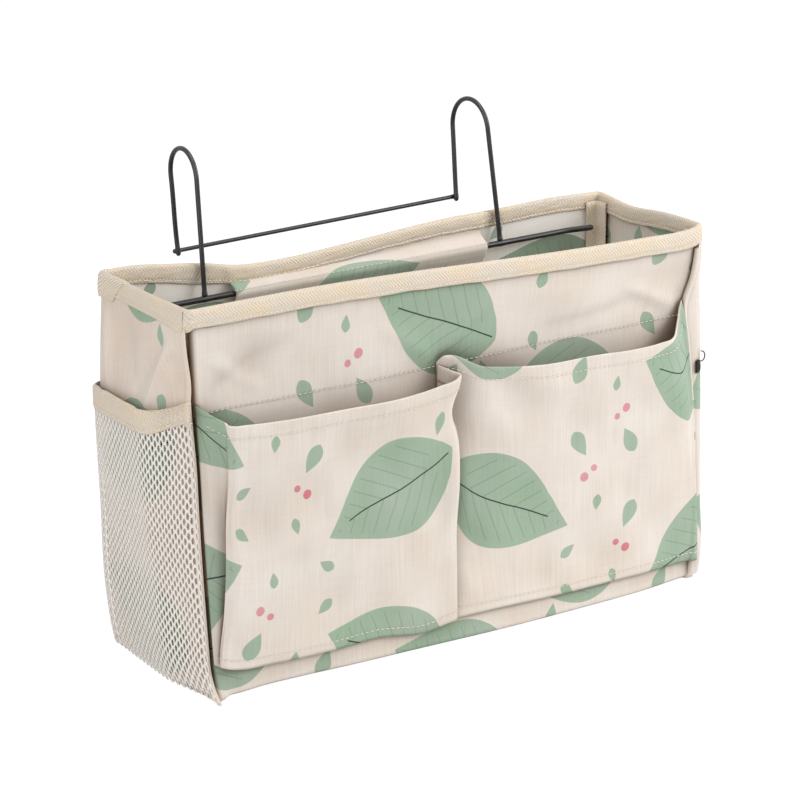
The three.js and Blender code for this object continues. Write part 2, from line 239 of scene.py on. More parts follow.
# %% Cloth: coordinates, noise and bump
CANVAS_COLOUR = ink(233, 222, 211)
# The inside of the back wall has a lighter ground: painted light for the light that falls into the open bag.
LIT_INNER_COLOUR = ink(253, 248, 240)
# The left wall's ground is a little darker and warmer than the front's: painted shade for the side that the key
# lamp doesn't reach.
SHADED_SIDE_COLOUR = ink(233, 218, 204)
LEAF_COLOUR = ink(164, 184, 162)
VEIN_COLOUR = ink(140, 162, 140)
RIB_COLOUR = ink(44, 52, 45)
BERRY_COLOUR = ink(219, 146, 152)
# The brown that painted shade in folds and hollows draws the colour towards.
PAINTED_SHADE_COLOUR = ink(132, 108, 82)
THREAD_PITCH = 0.62


def cloth_coordinates(start):
    """Across and up on a piece's own cloth, in millimetres."""
    uv = start.node("ShaderNodeUVMap", {"uv_map": "cloth"})
    parts = uv.node("ShaderNodeSeparateXYZ", None, {0: uv})
    return parts / MM, parts.other_output(1) / MM


def noise(start, across, up, size_across, size_up, detail=2.0):
    """Even noise from 0 to 1 whose grains are so many millimetres across and up."""
    place = start.node("ShaderNodeCombineXYZ", None, {0: across / size_across, 1: up / size_up})
    return start.node("ShaderNodeTexNoise", {"noise_dimensions": "2D"},
                      {"Vector": place, "Scale": 1.0, "Detail": detail})


def grain(start, scale, detail):
    """Noise through the whole of a piece, for one that is too thin for a map of its own."""
    return start.node("ShaderNodeTexNoise", None,
                      {"Vector": start.node("ShaderNodeTexCoord", out=3), "Scale": scale, "Detail": detail})


def weave_height(across, up):
    """Threads over and under each other, from 0 to 1."""
    return abs((across * (math.pi / THREAD_PITCH)).sine() * (up * (math.pi / THREAD_PITCH)).sine())


def worn(start, colour, shade, saturation=1.0):
    """A colour made a little lighter or darker, and fuller or paler."""
    return start.node("ShaderNodeHueSaturation", None,
                      {"Color": colour, "Value": shade + 1, "Saturation": saturation})


def add_bump(start, shader, height, strength, distance):
    bump = start.node("ShaderNodeBump", None,
                      {"Strength": strength, "Distance": distance * MM, "Height": height})
    feed(start, shader, "Normal", bump)


print("weave pitch", THREAD_PITCH, "mm")

# %% [markdown]
# Folds in the photograph are browner than plain shade would make them. Where other cloth is close, painted shade
# therefore draws the colour towards a warm brown; an ambient occlusion node finds how close it is. Close to the
# ground the floor would count as cloth too, so the painted shade fades out there.

# %% Cloth: painted shade in hollows
CANVAS_SHADE_REACH, TAPE_SHADE_REACH = 19, 5
GROUND_FADE = (3 * MM, 16 * MM)


def with_painted_shade(start, colour, reach, strength):
    """The colour with painted shade: darker and browner where other cloth is within reach."""
    clear = start.node("ShaderNodeAmbientOcclusion", {"samples": 8}, {"Distance": reach * MM}, out=1)
    place = start.node("ShaderNodeSeparateXYZ", None, {0: start.node("ShaderNodeTexCoord", out=3)})
    share = (1 - clear) * place.other_output(2).within(*GROUND_FADE) * strength
    return mixed(share, colour, PAINTED_SHADE_COLOUR, "MULTIPLY")


print("hollows reach", CANVAS_SHADE_REACH, "mm on canvas and", TAPE_SHADE_REACH, "mm on tape")

# %% Canvas: motifs
TILE_WIDTH = 132
TILE_HEIGHT = 112
INK_EDGE = 0.35
PRINT_WOBBLE = 2.4
LEAF_PLACE, LEAF_TURN, LEAF_LENGTH, LEAF_WIDTH = (-10, 4), 24, 98, 64
VEIN_PITCH = 11.5
# Middle, turn, length and width of each seed, then middle and radius of each berry
SEEDS = (((46, -30), 62, 20, 11.5), ((36, 42), -35, 13, 7.5), ((-46, -34), 75, 15, 8.5),
         ((58, 12), 100, 11, 6.5))
BERRIES = (((49, -7), 3.3), ((56.5, -12), 2.5))


def turned(across, up, centre, degrees):
    """The same point seen from a motif's own middle and direction."""
    x, y = across - centre[0], up - centre[1]
    cosine, sine = math.cos(math.radians(degrees)), math.sin(math.radians(degrees))
    return x * cosine + y * sine, y * cosine - x * sine


def leaf_margin(x, y, length, width, fullness):
    """How far inside a leaf's edge a point lies. Fullness under 1 fattens the end where the stalk is."""
    along = (x / length + 0.5).within(0, 1)
    half = ((along ** fullness) * math.pi).sine() * (width / 2)
    return half - abs(y)


def inked(margin):
    return margin.within(0.02, INK_EDGE)


def print_shares(start, across, up):
    """The print's layers as shares of ink: leaf, fine veins, dark rib and berries."""
    across = across + (noise(start, across, up, 26, 26) - 0.5) * PRINT_WOBBLE
    column = (across / TILE_WIDTH).floor()
    odd = column % 2
    dropped = up + odd * (TILE_HEIGHT / 2)
    row = (dropped / TILE_HEIGHT).floor()
    x = (across - (column + 0.5) * TILE_WIDTH) * (1 - odd * 2)
    y = (dropped - (row + 0.5) * TILE_HEIGHT) * (1 - (row % 2) * 2)

    leaf_x, leaf_y = turned(x, y, LEAF_PLACE, LEAF_TURN)
    margin = leaf_margin(leaf_x, leaf_y, LEAF_LENGTH, LEAF_WIDTH, 0.78)
    leaf = inked(margin)
    slanted = leaf_x - abs(leaf_y) * 0.9
    stripe = abs((slanted / VEIN_PITCH) % 1 - 0.5) * VEIN_PITCH
    veins = inked(0.75 - stripe).both((margin - 4).within(0, 1)).both((leaf_x + 34).within(0, 1))
    rib = inked(0.62 - abs(leaf_y + (leaf_x * 0.045).sine() * 1.6)).both((leaf_x + 46).within(0, 1))
    rib = rib.both((33 - leaf_x).within(0, 1))
    for centre, degrees, length, width in SEEDS:
        leaf = leaf.either(inked(leaf_margin(*turned(x, y, centre, degrees), length, width, 0.7)))
    spots = []
    for centre, radius in BERRIES:
        dx, dy = x - centre[0], y - centre[1]
        spots.append(inked(radius - (dx * dx + dy * dy) ** 0.5))
    return leaf, veins, rib, spots[0].either(spots[1])


print("print repeat", TILE_WIDTH, "x", TILE_HEIGHT, "mm, half drop")

# %% Canvas: the printed cloth
def make_canvas(name, ground, painted_shade):
    """Printed canvas on a ground colour. The last argument says how strongly shade is painted into its folds."""
    made, start, shader = start_material(name)
    across, up = cloth_coordinates(start)
    upright = noise(start, across, up, 1.1, 46, 3.0)
    level = noise(start, across, up, 30, 1.3, 3.0)
    cloud = noise(start, across, up, 44, 44, 4.0)
    leaf, veins, rib, berries = print_shares(start, across, up)
    colour = mixed(leaf, ground, LEAF_COLOUR)
    colour = mixed(veins * 0.75, colour, VEIN_COLOUR)
    colour = mixed(rib, colour, RIB_COLOUR)
    colour = mixed(berries, colour, BERRY_COLOUR)
    shade = (upright - 0.5) * 0.17 + (level - 0.5) * 0.06 + (cloud - 0.5) * 0.16
    colour = worn(start, colour, shade, (0.5 - cloud) * 0.8 + 1)
    feed(start, shader, "Base Color", with_painted_shade(start, colour, CANVAS_SHADE_REACH, painted_shade))
    feed(start, shader, "Roughness", (level - 0.5) * 0.2 + 0.86)
    add_bump(start, shader, weave_height(across, up) * 0.5 + upright * 0.7 + level * 0.4, 0.5, 0.16)
    settle(shader, {"Sheen Weight": 0.12, "Sheen Roughness": 0.6, "Specular IOR Level": 0.2})
    return made


canvas_print = make_canvas("printed_canvas", CANVAS_COLOUR, 1.3)
# A shaded copy of the canvas for the left wall: its darker ground is painted shade, and its folds get only a
# little painted shade.
shaded_side_canvas = make_canvas("shaded_side_canvas", SHADED_SIDE_COLOUR, 0.2)
# A lit copy of the canvas for the inside of the bag: its lighter ground is painted light, and it has no painted
# shade in its folds.
lit_inner_canvas = make_canvas("lit_inner_canvas", LIT_INNER_COLOUR, 0)
sleeve_canvas = make_canvas("sleeve_canvas", CANVAS_COLOUR, 0.2)
print("made", canvas_print.name, "with", len(canvas_print.node_tree.nodes), "nodes")

# %% [markdown]
# Binding tape is woven in a herringbone: narrow columns of slanted ribs that change direction. Its ribs are
# coarse enough to be seen from a step away, so they get both a darker line and a bump. The folded end of the rim
# tape is the same cloth pulled on the slant, so it has one wide column of heavier ribs.

# %% Tape, net yarn, thread and black ribbon
TAPE_COLOUR = ink(233, 218, 198)
NET_COLOUR = ink(247, 241, 234)
THREAD_COLOUR = ink(240, 233, 221)
BLACK_COLOUR = ink(38, 37, 36)
# How strongly shade is painted into the tape where other cloth is close.
TAPE_PAINTED_SHADE = 0.5


def make_tape(name, colour, rib=2.4, column=4.6, contrast=0.2):
    """Herringbone with ribs and columns of these widths in millimetres."""
    made, start, shader = start_material(name)
    across, up = cloth_coordinates(start)
    side = abs((up / column) % 2 - 1) * column
    slant = ((across + side) * (2 * math.pi / rib)).sine() * 0.5 + 0.5
    fuzz = noise(start, across, up, 0.8, 0.8, 3.0)
    cloud = noise(start, across, up, 28, 10)
    shade = (slant - 0.5) * contrast + (fuzz - 0.5) * 0.2 + (cloud - 0.5) * 0.14
    colour = worn(start, colour, shade, (cloud - 0.5) * 0.9 + 1)
    # Painted shade where other cloth is close, over a short reach.
    feed(start, shader, "Base Color", with_painted_shade(start, colour, TAPE_SHADE_REACH, TAPE_PAINTED_SHADE))
    add_bump(start, shader, slant * 0.7 + fuzz * 0.5, 0.9, 0.32)
    settle(shader, {"Roughness": 0.85, "Sheen Weight": 0.15, "Specular IOR Level": 0.2})
    return made


def make_yarn(name, colour, fibre_size):
    """Twisted thread."""
    made, start, shader = start_material(name)
    fibre = grain(start, 1 / (fibre_size * MM), 2.0)
    feed(start, shader, "Base Color", worn(start, colour, (fibre - 0.5) * 0.24))
    add_bump(start, shader, fibre, 0.5, 0.12)
    settle(shader, {"Roughness": 0.7, "Sheen Weight": 0.1, "Specular IOR Level": 0.3})
    return made


binding = make_tape("herringbone_tape", TAPE_COLOUR)
folded_tape = make_tape("folded_tape", TAPE_COLOUR, 3.0, 60, 0.42)
ribbon = make_tape("black_ribbon", BLACK_COLOUR, 0.9, 2.0)
net_yarn = make_yarn("net_yarn", NET_COLOUR, 0.7)
sewing_thread = make_yarn("sewing_thread", THREAD_COLOUR, 0.5)
print("made", [m.name for m in (binding, folded_tape, ribbon, net_yarn, sewing_thread)])

# %% [markdown]
# The wire is steel with satin black paint: a dielectric coat over a dark base, not bare metal. A faint noise in
# the roughness stands for the dust and thin spots of cheap paint, and it breaks up the long highlights.

# %% Black wire paint
black_paint, paint_start, paint_shader = start_material("black_wire_paint")
patches = grain(paint_start, 90.0, 3.0)
paint_colour = mixed(patches.within(0.35, 0.75), ink(19, 18, 18), ink(34, 32, 31))
feed(paint_start, paint_shader, "Base Color", paint_colour)
feed(paint_start, paint_shader, "Roughness", patches * 0.24 + 0.26)
add_bump(paint_start, paint_shader, grain(paint_start, 900.0, 1.0), 0.2, 0.05)
settle(paint_shader, {"Coat Weight": 0.25, "Coat Roughness": 0.25})
print("made", black_paint.name)

# %% [markdown]
# Sewn cloth is never flat: it leans, swells and wrinkles. A simulation could drape it, but a bag of stiffened
# canvas keeps the shape that its seams give it, so each wall is a grid whose points come from a rule. The rules
# below say how high the rim is, how far the front spreads at its foot and where the side swells. Everything that
# is sewn on asks the same rules, so it stays in touch with what carries it.

# %% Rules of the bag: helpers
def smooth(low, high, value):
    share = np.clip((value - low) / (high - low), 0, 1)
    return share * share * (3 - 2 * share)


def window(value, low, full, still_full, high):
    """1 from full to still_full, falling softly to 0 at low and at high."""
    return smooth(low, full, value) * smooth(high, still_full, value)


def hill(value, middle, width):
    return np.exp(-((value - middle) / width) ** 2)


def through(knots, values, at):
    """A smooth curve through chosen points. Values may be whole rows of points."""
    knots, values = np.asarray(knots, float), np.asarray(values, float)
    slopes = np.gradient(values, knots, axis=0)
    at = np.clip(at, knots[0], knots[-1])
    i = np.clip(np.searchsorted(knots, at) - 1, 0, len(knots) - 2)
    gap = knots[i + 1] - knots[i]
    t = (at - knots[i]) / gap
    shape = t.shape + (1,) * (values.ndim - 1)
    t, gap = t.reshape(shape), gap.reshape(shape)
    start, end = values[i], values[i + 1]
    rise, fall = slopes[i] * gap, slopes[i + 1] * gap
    square = 3 * (end - start) - 2 * rise - fall
    cube = 2 * (start - end) + rise + fall
    return start + t * rise + t * t * square + t ** 3 * cube


def rule(table, at):
    """A smooth curve through a table of places and their values."""
    return through(*zip(*table), at)


def run_of(points):
    """How far each point of a line lies along it."""
    return np.concatenate([[0], np.cumsum(np.linalg.norm(np.diff(points, axis=0), axis=1))])


def ripples(a, b, seed, height, shortest=38, longest=120, count=9):
    """Soft uneven waves over a cloth, as high as height at most, the same on every run."""
    draw = np.random.default_rng(seed)
    total = 0
    for _ in range(count):
        length = draw.uniform(shortest, longest)
        turn, shift = draw.uniform(0, math.pi), draw.uniform(0, 2 * math.pi)
        along = a * math.cos(turn) + b * math.sin(turn)
        total = total + np.sin(along * 2 * math.pi / length + shift) * length
    return total / (count * longest) * height * 2


def creases(table, a, b):
    """Fold lines on a wall: each one's height, start, end and width. They fade to their sides and ends."""
    total = 0
    for height, start, end, width in table:
        run, rise = end[0] - start[0], end[1] - start[1]
        length = math.hypot(run, rise)
        along = ((a - start[0]) * run + (b - start[1]) * rise) / length
        off = ((a - start[0]) * rise - (b - start[1]) * run) / length
        taper = np.sin(np.clip(along / length, 0, 1) * math.pi) ** 0.7
        total = total + height * hill(off, 0, width) * taper
    return total


print("a ripple at the origin:", round(float(ripples(0, 0, 1, 1)), 3), "mm")

# %% Rules of the bag: rim, front, left, right and back
FRONT_RIM = ((-193, 244.3), (-95, 243.8), (-44, 242.2), (15, 239.4), (77, 236.6), (140, 234.8), (182, 234.8),
             (193, 236.4))
BACK_RIM = ((-193, 243.4), (-170, 243.6), (-141, 240.2), (-116, 236.6), (-92, 231.8), (-58, 230.4), (-21, 232),
            (33, 235.4), (65, 237), (110, 237), (150, 237.8), (193, 236.8))
RIGHT_DIP, DIP_MIDDLE, DIP_WIDTH = 3.4, 20, 26
SPREAD = ((-190, 2.5), (-184, 7.5), (-172, 9), (-150, 7.5), (-120, 8.5), (-90, 10.5), (-40, 12.5), (20, 15),
          (90, 14.5), (140, 12.5), (168, 9), (190, 6))
SPREAD_TOP = 150
EAR, EAR_TOP = 9, 24          # how far the bottom left corner of the front sticks out, and up to what height
FRONT_FOLDS = ((1.8, (-14, 183), (28, 222), 5), (1.7, (-18, 183), (-62, 216), 6),
               (2.2, (172, 186), (128, 206), 5), (-1.8, (-188, 186), (-118, 218), 6),
               (-1.3, (60, 186), (150, 196), 5), (1.8, (-188, 216), (-140, 186), 5))
RIGHT_SEAM = ((0, 177), (45, 180), (100, 182), (150, 179), (188, 176.4), (205, 182.2), (225, 186),
              (240, 188.2))
SWELL = ((0, 6.5), (30, 8.6), (80, 9.5), (150, 9.5), (190, 9.2), (210, 8.2), (225, 5.0), (240, 0.5))
RIDGE = ((0, -24), (80, -18), (140, -16), (170, -16), (188, -20), (205, -31), (225, -46), (240, -53))
BACK_BOW = ((0, -1), (15, 1.2), (40, 3.4), (100, 3.6), (150, 3.0), (200, 0.3), (225, -1.6), (240, -3.0))
LEFT_FOLDS = ((3.4, (-54, 234), (-12, 172), 3.2), (-4.0, (6, 180), (22, 226), 13),
              (3.0, (46, 232), (36, 170), 4), (-3.6, (-40, 232), (-52, 188), 4),
              (-4.4, (-36, 222), (4, 180), 7))
RIGHT_BELLY = ((0, 0.4), (11, 2.2), (60, 3.9), (116, 4.0), (184, 2.2), (225, 0.8), (240, 0.6))
BOTTOM_ROUND = 3.5
LEFT_LIFT = 1.2
WALL_TOP_GAP = 1.6


def rim_at(x, y):
    """The height of the rim, which sags over the sleeve and leans down to the right."""
    front, rear = rule(FRONT_RIM, x), rule(BACK_RIM, x)
    dip = RIGHT_DIP * smooth(150, 190, x) * hill(y, DIP_MIDDLE, DIP_WIDTH)
    return front + (rear - front) * np.clip((y + HALF_DEPTH) / (2 * HALF_DEPTH), 0, 1) - dip


def base_at(x, y):
    """The height of the bottom edge. Towards the back left corner the cloth is drawn up off the ground."""
    return LEFT_LIFT * smooth(-150, -190, x) * smooth(-64, -8, y)


def wall_z(x, y, v):
    """The height of a wall's point by its share of the height. The upper part follows the uneven rim."""
    return v * (RIM - WALL_TOP_GAP) + base_at(x, y) * (1 - v) ** 2 + (rim_at(x, y) - RIM) * smooth(0.7, 1, v)


def half_width(z):
    return HALF_RIM - SIDE_TAPER * (1 - z / RIM)


def right_belly(y, z):
    """How far the right wall stands out: most at its front, where the pocket pulls it."""
    return rule(RIGHT_BELLY, z) * (0.55 + 0.45 * smooth(56, -30, y))


def front_y(x, z):
    """The front wall's outer face. Its foot stands out, and the cloth over the pockets is a little hollow."""
    spread = rule(SPREAD, x) * np.clip(1 - z / SPREAD_TOP, 0, 1) ** 1.5
    ear = EAR * smooth(-174, -189, x) * np.clip(1 - z / EAR_TOP, 0, 1) ** 2
    hollow = 6.0 * hill(x, -152, 20) * hill(z, 199, 19) + 1.5 * hill(x, 20, 60) * hill(z, 206, 14)
    loose = window(z, 4, 30, 205, 228) * window(x, -190, -170, 168, 188)
    folds = (creases(FRONT_FOLDS, x, z) + ripples(x, z, 3, 2.4)) * loose
    return -HALF_DEPTH - spread - ear + hollow * smooth(229, 216, z) - folds


def left_swell(y, z):
    """How far the left wall bellies out, with a ridge that climbs to the rim's front corner."""
    ridge = rule(RIDGE, z)
    from_front = (y + HALF_DEPTH) / (ridge + HALF_DEPTH)
    from_back = (HALF_DEPTH - y) / (HALF_DEPTH - ridge)
    tent = -np.log(np.exp(-9 * np.clip(from_front, 0, 2)) + np.exp(-9 * np.clip(from_back, 0, 2))) / 9
    loose = window(z, 0, 20, 208, 230) * window(y, -56, -46, 44, 58)
    folds = (creases(LEFT_FOLDS, y, z) + ripples(y, z, 5, 1.6)) * loose
    return rule(SWELL, z) * np.clip(tent, 0, 1) + rule(BACK_BOW, z) * smooth(-24, 46, y) + folds


def bottom_tuck(above):
    """How far the rounded bottom edge draws a wall in, at a height above that edge."""
    low = np.clip(BOTTOM_ROUND - above, 0, BOTTOM_ROUND)
    return BOTTOM_ROUND - np.sqrt(BOTTOM_ROUND ** 2 - low ** 2)


print("rim from", min(z for _, z in BACK_RIM), "to", max(z for _, z in FRONT_RIM), "mm high")

# %% [markdown]
# Every cloth piece is made by the same two steps: a grid of points, and a mesh over it with its cloth
# coordinates. Those come from the lengths along the grid, so the weave and the print keep their size round every
# bend. Solidify then gives the cloth its thickness, inwards from the face that shows.


def grid(across, up, place):
    """Points of place(u, v) over shares across, a count or a list, and a count of rows up."""
    columns = np.linspace(0, 1, across + 1) if isinstance(across, int) else across
    return np.stack(place(*np.meshgrid(columns, np.linspace(0, 1, up + 1))), axis=-1)


def lengths(points, axis):
    """How far each column or row lies along the cloth, in millimetres."""
    steps = np.linalg.norm(np.diff(points, axis=axis), axis=2).mean(axis=1 - axis)
    return np.concatenate([[0], np.cumsum(steps)])


def grid_faces(rows, columns):
    i, j = np.meshgrid(np.arange(columns - 1), np.arange(rows - 1))
    low, high = j * columns + i, (j + 1) * columns + i
    return np.stack([low, low + 1, high + 1, high], -1).reshape(-1, 4)


def belongs(piece, body, nodes):
    """Attaches a piece to the body it rides on and hides the nodes of the frame that it replaces."""
    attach(piece, body)
    if nodes:
        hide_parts(*nodes)


def thicken(piece, thickness, offset):
    wall = piece.modifiers.new("thickness", "SOLIDIFY")
    wall.thickness = thickness * MM
    wall.offset = offset


def cloth(name, points, thickness, material, nodes, shift=(0, 0)):
    """A piece of cloth over a grid of points, with its thickness inwards. Shift moves the print on it."""
    rows, columns, _ = points.shape
    across, up = np.meshgrid(lengths(points, 1), lengths(points, 0))
    uv = np.stack([across + shift[0], up + shift[1]], -1).reshape(-1, 2)
    faces = grid_faces(rows, columns)
    mesh = bpy.data.meshes.new(name)
    mesh.from_pydata((points.reshape(-1, 3) * MM).tolist(), [], faces.tolist())
    layer = mesh.uv_layers.new(name="cloth")
    layer.data.foreach_set("uv", (uv[faces.ravel()] * MM).astype(np.float32).ravel())
    mesh.polygons.foreach_set("use_smooth", np.ones(len(mesh.polygons), bool))
    mesh.materials.append(material)
    made = bpy.data.objects.new(name, mesh)
    bpy.context.scene.collection.objects.link(made)
    thicken(made, thickness, -1)
    belongs(made, "bag", nodes)
    print(f"{name}: {rows * columns} points, {across.max():.0f} x {up.max():.0f} mm of cloth")


# %% [markdown]
# The front wall is one cloth from the left seam to the right one. It has no corners of its own: the side walls
# wrap round to meet it, which is where the real bag shows its seams.

# %% Front wall
GROOVE_DEPTH, GROOVE_WIDTH = 2.8, 1.2
SEAM_INSET, SEAM_PULL, SEAM_RUN = 1.6, 2.4, 3.5
UNDER_RIGHT_SEAM = 2.5
SUNK = 0.4                    # how far the front and back cloth lie inside the bag's own outline


def lip_stands(level):
    """How much of the seam's lip and groove is left: near the rim the tape presses them flat."""
    return 1 - 0.8 * smooth(222, 232, level)


def seam_back(level):
    """How far round the corner the left seam sits. Over the pocket it is pulled on to the side."""
    return SEAM_PULL * smooth(140, 185, level) * lip_stands(level)


def by_seam(x, level):
    """1 at the left seam, falling to 0 over a short run to the right of it."""
    return np.clip(1 - (x + half_width(level) - SEAM_INSET) / SEAM_RUN, 0, 1) ** 2


def front_place(u, v):
    level = v * (RIM - WALL_TOP_GAP)
    left, right = SEAM_INSET - half_width(level), rule(RIGHT_SEAM, level) + UNDER_RIGHT_SEAM
    x = left + u * (right - left)
    z = wall_z(x, -HALF_DEPTH, v)
    groove = GROOVE_DEPTH * lip_stands(level) * smooth(GROOVE_WIDTH, 0, x - left)
    groove = groove + seam_back(level) * by_seam(x, level)
    return x, front_y(x, z) + bottom_tuck(level) + SUNK + groove, z


front_columns = np.concatenate([np.linspace(0, 0.014, 12), np.linspace(0.014, 1, 166)[1:]])
cloth("front_wall", grid(front_columns, 110, front_place), CANVAS, canvas_print, ["front_panel"],
      shift=(31, 18))

# %% [markdown]
# The left wall ends in a small lip that stands proud of the front: that is the seam allowance, pushed outwards
# by the binding inside. A dark line beside such a lip is what the eye reads as a seam. The lip is a short curve
# of its own at the end of the wall's section, with extra columns so that it stays round.

# %% Left wall
LIP_BEHIND = 2.6
LIP = ((0, (0.0, 0.0)), (0.2, (1.8, 1.6)), (0.4, (2.2, 3.8)), (0.54, (1.4, 4.8)), (0.68, (0.2, 4.4)),
       (0.8, (-0.5, 2.6)), (0.9, (-1.0, 0.4)), (1, (-2.8, -0.6)))
LIP_SHARE = 0.08
LIP_FOOT = 1.2
BACK_ROUND = 6
BACK_TUCK = 1.35


def back_corner(y):
    """How far a side wall draws in round the back corner."""
    past = np.clip(y - (HALF_DEPTH - BACK_ROUND), 0, BACK_ROUND)
    return BACK_ROUND - np.sqrt(BACK_ROUND ** 2 - past ** 2)


def back_tuck(y, level):
    """How far a side wall's bottom edge draws forward at the back corner, to stay inside the back wall."""
    return BACK_TUCK * bottom_tuck(level) * smooth(HALF_DEPTH - 8, HALF_DEPTH, y)


def left_place(u, v):
    level = v * (RIM - WALL_TOP_GAP)
    edge = front_y(-half_width(level), level) + LIP_BEHIND + seam_back(level)
    y = HALF_DEPTH + np.clip(u / (1 - LIP_SHARE), 0, 1) * (edge - HALF_DEPTH)
    x = -half_width(level) - left_swell(y, level) + back_corner(y)
    lip = rule(LIP, np.clip((u - 1 + LIP_SHARE) / LIP_SHARE, 0, 1))
    proud = lip_stands(level)
    z = wall_z(x, y, v)
    tuck = 0.45 * bottom_tuck(level) * smooth(-60, -30, y) * (1 + 1.8 * smooth(30, 56, y))
    foot = LIP_FOOT * smooth(12, 0, level) * (u > 1 - LIP_SHARE)
    return x - lip[..., 0] * proud + tuck, y - back_tuck(y, level) - lip[..., 1] * proud - foot, z


left_columns = np.concatenate([np.linspace(0, 0.05, 8), np.linspace(0.05, 1 - LIP_SHARE, 56)[1:],
                               np.linspace(1 - LIP_SHARE, 1, 16)[1:]])
# Its canvas is the shaded copy, with painted shade in its darker ground.
cloth("left_wall", grid(left_columns, 110, left_place), CANVAS, shaded_side_canvas, ["left_side_panel"],
      shift=(-112, -36))

# %% [markdown]
# The right wall turns round the front corner and meets the front wall some way in, in a seam that leans with the
# pull of the cloth. Low down its edge flares and leaves a narrow dark gap.

# %% Right wall
CORNER_ROUND = 9
RIGHT_LIP = 3.0
RIGHT_TURN_IN = 1.8
FLARE = 3.0


def right_place(u, v):
    level = v * (RIM - WALL_TOP_GAP)
    seam = rule(RIGHT_SEAM, level)
    outer = half_width(level) + right_belly(-HALF_DEPTH, level)
    proud = smooth(231, 222, level)
    front = front_y(seam, level) - 1.2 * proud + 0.6 * (1 - proud)
    corner = np.minimum(CORNER_ROUND, (outer - seam) * 0.8)
    flat_run = outer - corner - seam
    bend = corner * math.pi / 2
    side_run = HALF_DEPTH - front - corner
    travel = u * (RIGHT_LIP + flat_run + bend + side_run)
    turned_in = np.clip(1 - travel / RIGHT_LIP, 0, 1) * RIGHT_TURN_IN
    on_flat = np.clip(travel - RIGHT_LIP, 0, None)
    angle = np.clip((on_flat - flat_run) / corner, 0, math.pi / 2)
    past_bend = np.clip(on_flat - flat_run - bend, 0, None)
    x = seam + np.minimum(on_flat, flat_run) + corner * np.sin(angle) + turned_in
    y = front + corner * (1 - np.cos(angle)) + past_bend + turned_in
    flare = FLARE * hill(level, 30, 14) * np.exp(-np.abs(travel - RIGHT_LIP) / 5)
    x = x - (right_belly(-HALF_DEPTH, level) - right_belly(y, level)) * smooth(0, 30, past_bend)
    loose = window(level, 0, 20, 200, 228) * window(y, -50, -30, 40, 56)
    x = x + ripples(y, level, 8, 1.6) * loose - back_corner(y)
    z = wall_z(x, y, v)
    tuck = bottom_tuck(level) * 1.6
    y = y - back_tuck(y, level) + tuck * smooth(-40, -58, y)
    y = y - np.sin(np.clip(travel / RIGHT_LIP, 0, 1) * math.pi) * proud - flare
    return x - tuck * smooth(-66, -52, y), y, z


right_columns = np.concatenate([np.linspace(0, 0.05, 14), np.linspace(0.05, 0.3, 26)[1:],
                                np.linspace(0.3, 1, 50)[1:]])
cloth("right_wall", grid(right_columns, 110, right_place), CANVAS, canvas_print,
      ["right_side_panel"], shift=(-100, -32))

# %% [markdown]
# The back wall lies against the bed and hardly shows from the front, but its inside does, over the rim. The
# print goes through to that side. The base is a cloth inside the four walls' rounded bottom edge.

# %% Back wall and base
BACK_OVERLAP = BACK_ROUND - 1
BASE_EDGE = 4.0
BASE_LEFT, BASE_LEFT_AT_BACK, BASE_RIGHT = 1.0, 8.5, 6.2
BASE_ABOVE_GROUND = 0.25


def back_place(u, v):
    level = v * (RIM - WALL_TOP_GAP)
    left = BACK_OVERLAP - half_width(level) - left_swell(HALF_DEPTH, level)
    right = half_width(level) + right_belly(HALF_DEPTH, level) - BACK_OVERLAP
    x = right + u * (left - right)
    loose = window(level, 6, 40, 170, 205) * smooth(186, 160, np.abs(x))
    y = HALF_DEPTH - SUNK - bottom_tuck(level) + (ripples(x, level, 12, 1.8) - 0.8) * loose
    return x, y, wall_z(x, HALF_DEPTH, v)


def base_place(u, v):
    """Just inside the walls' bottom edges, and lifted with them."""
    y = HALF_DEPTH - BASE_EDGE - v * 2 * (HALF_DEPTH - BASE_EDGE)
    left = -half_width(0) - BASE_LEFT + BASE_LEFT_AT_BACK * smooth(30, 56, y)
    right = half_width(0) - BASE_RIGHT - back_corner(y)
    x = left + u * (right - left)
    y = y + v ** 3 * (front_y(x, 0) + HALF_DEPTH)
    return x, y, BASE_ABOVE_GROUND + base_at(x, y)


# Its canvas is the lit copy, with painted light in its lighter ground.
cloth("back_wall", grid(150, 96, back_place), CANVAS, lit_inner_canvas, ["back_panel"], shift=(20, 100))
cloth("base_cloth", grid(60, 30, base_place), CANVAS, canvas_print, ["base_panel"], shift=(9, 5))

# %% [markdown]
# One strip of tape is folded over the rim and sewn through. Its path runs once round the rim as seen from above,
# and its section goes up the outside, over the edge and down the inside. The flaps aren't equally deep all
# round, as the tape was fed by hand, and their edges wander a little.

# %% Rim tape: path and section
RIM_CORNERS = (2.5, 8, 4, 7)
TAPE_STEP = 1.5
TAPE_THICKNESS = 1.1
TAPE_OUT = 1.4
TAPE_IN = -3.2
TAPE_START_Y, TAPE_STOP_Y = 44, 44.4
OUTER_FLAP, SIDE_INNER_FLAP = 11.8, 11
INNER_FLAP = ((-193, 10.8), (-141, 12), (-120, 13.2), (-95, 11.5), (-24, 9.7), (93, 10), (193, 11))
SLEEVE_FROM, SLEEVE_TO = (corner[0] for corner in box_mm("bar_sleeve"))


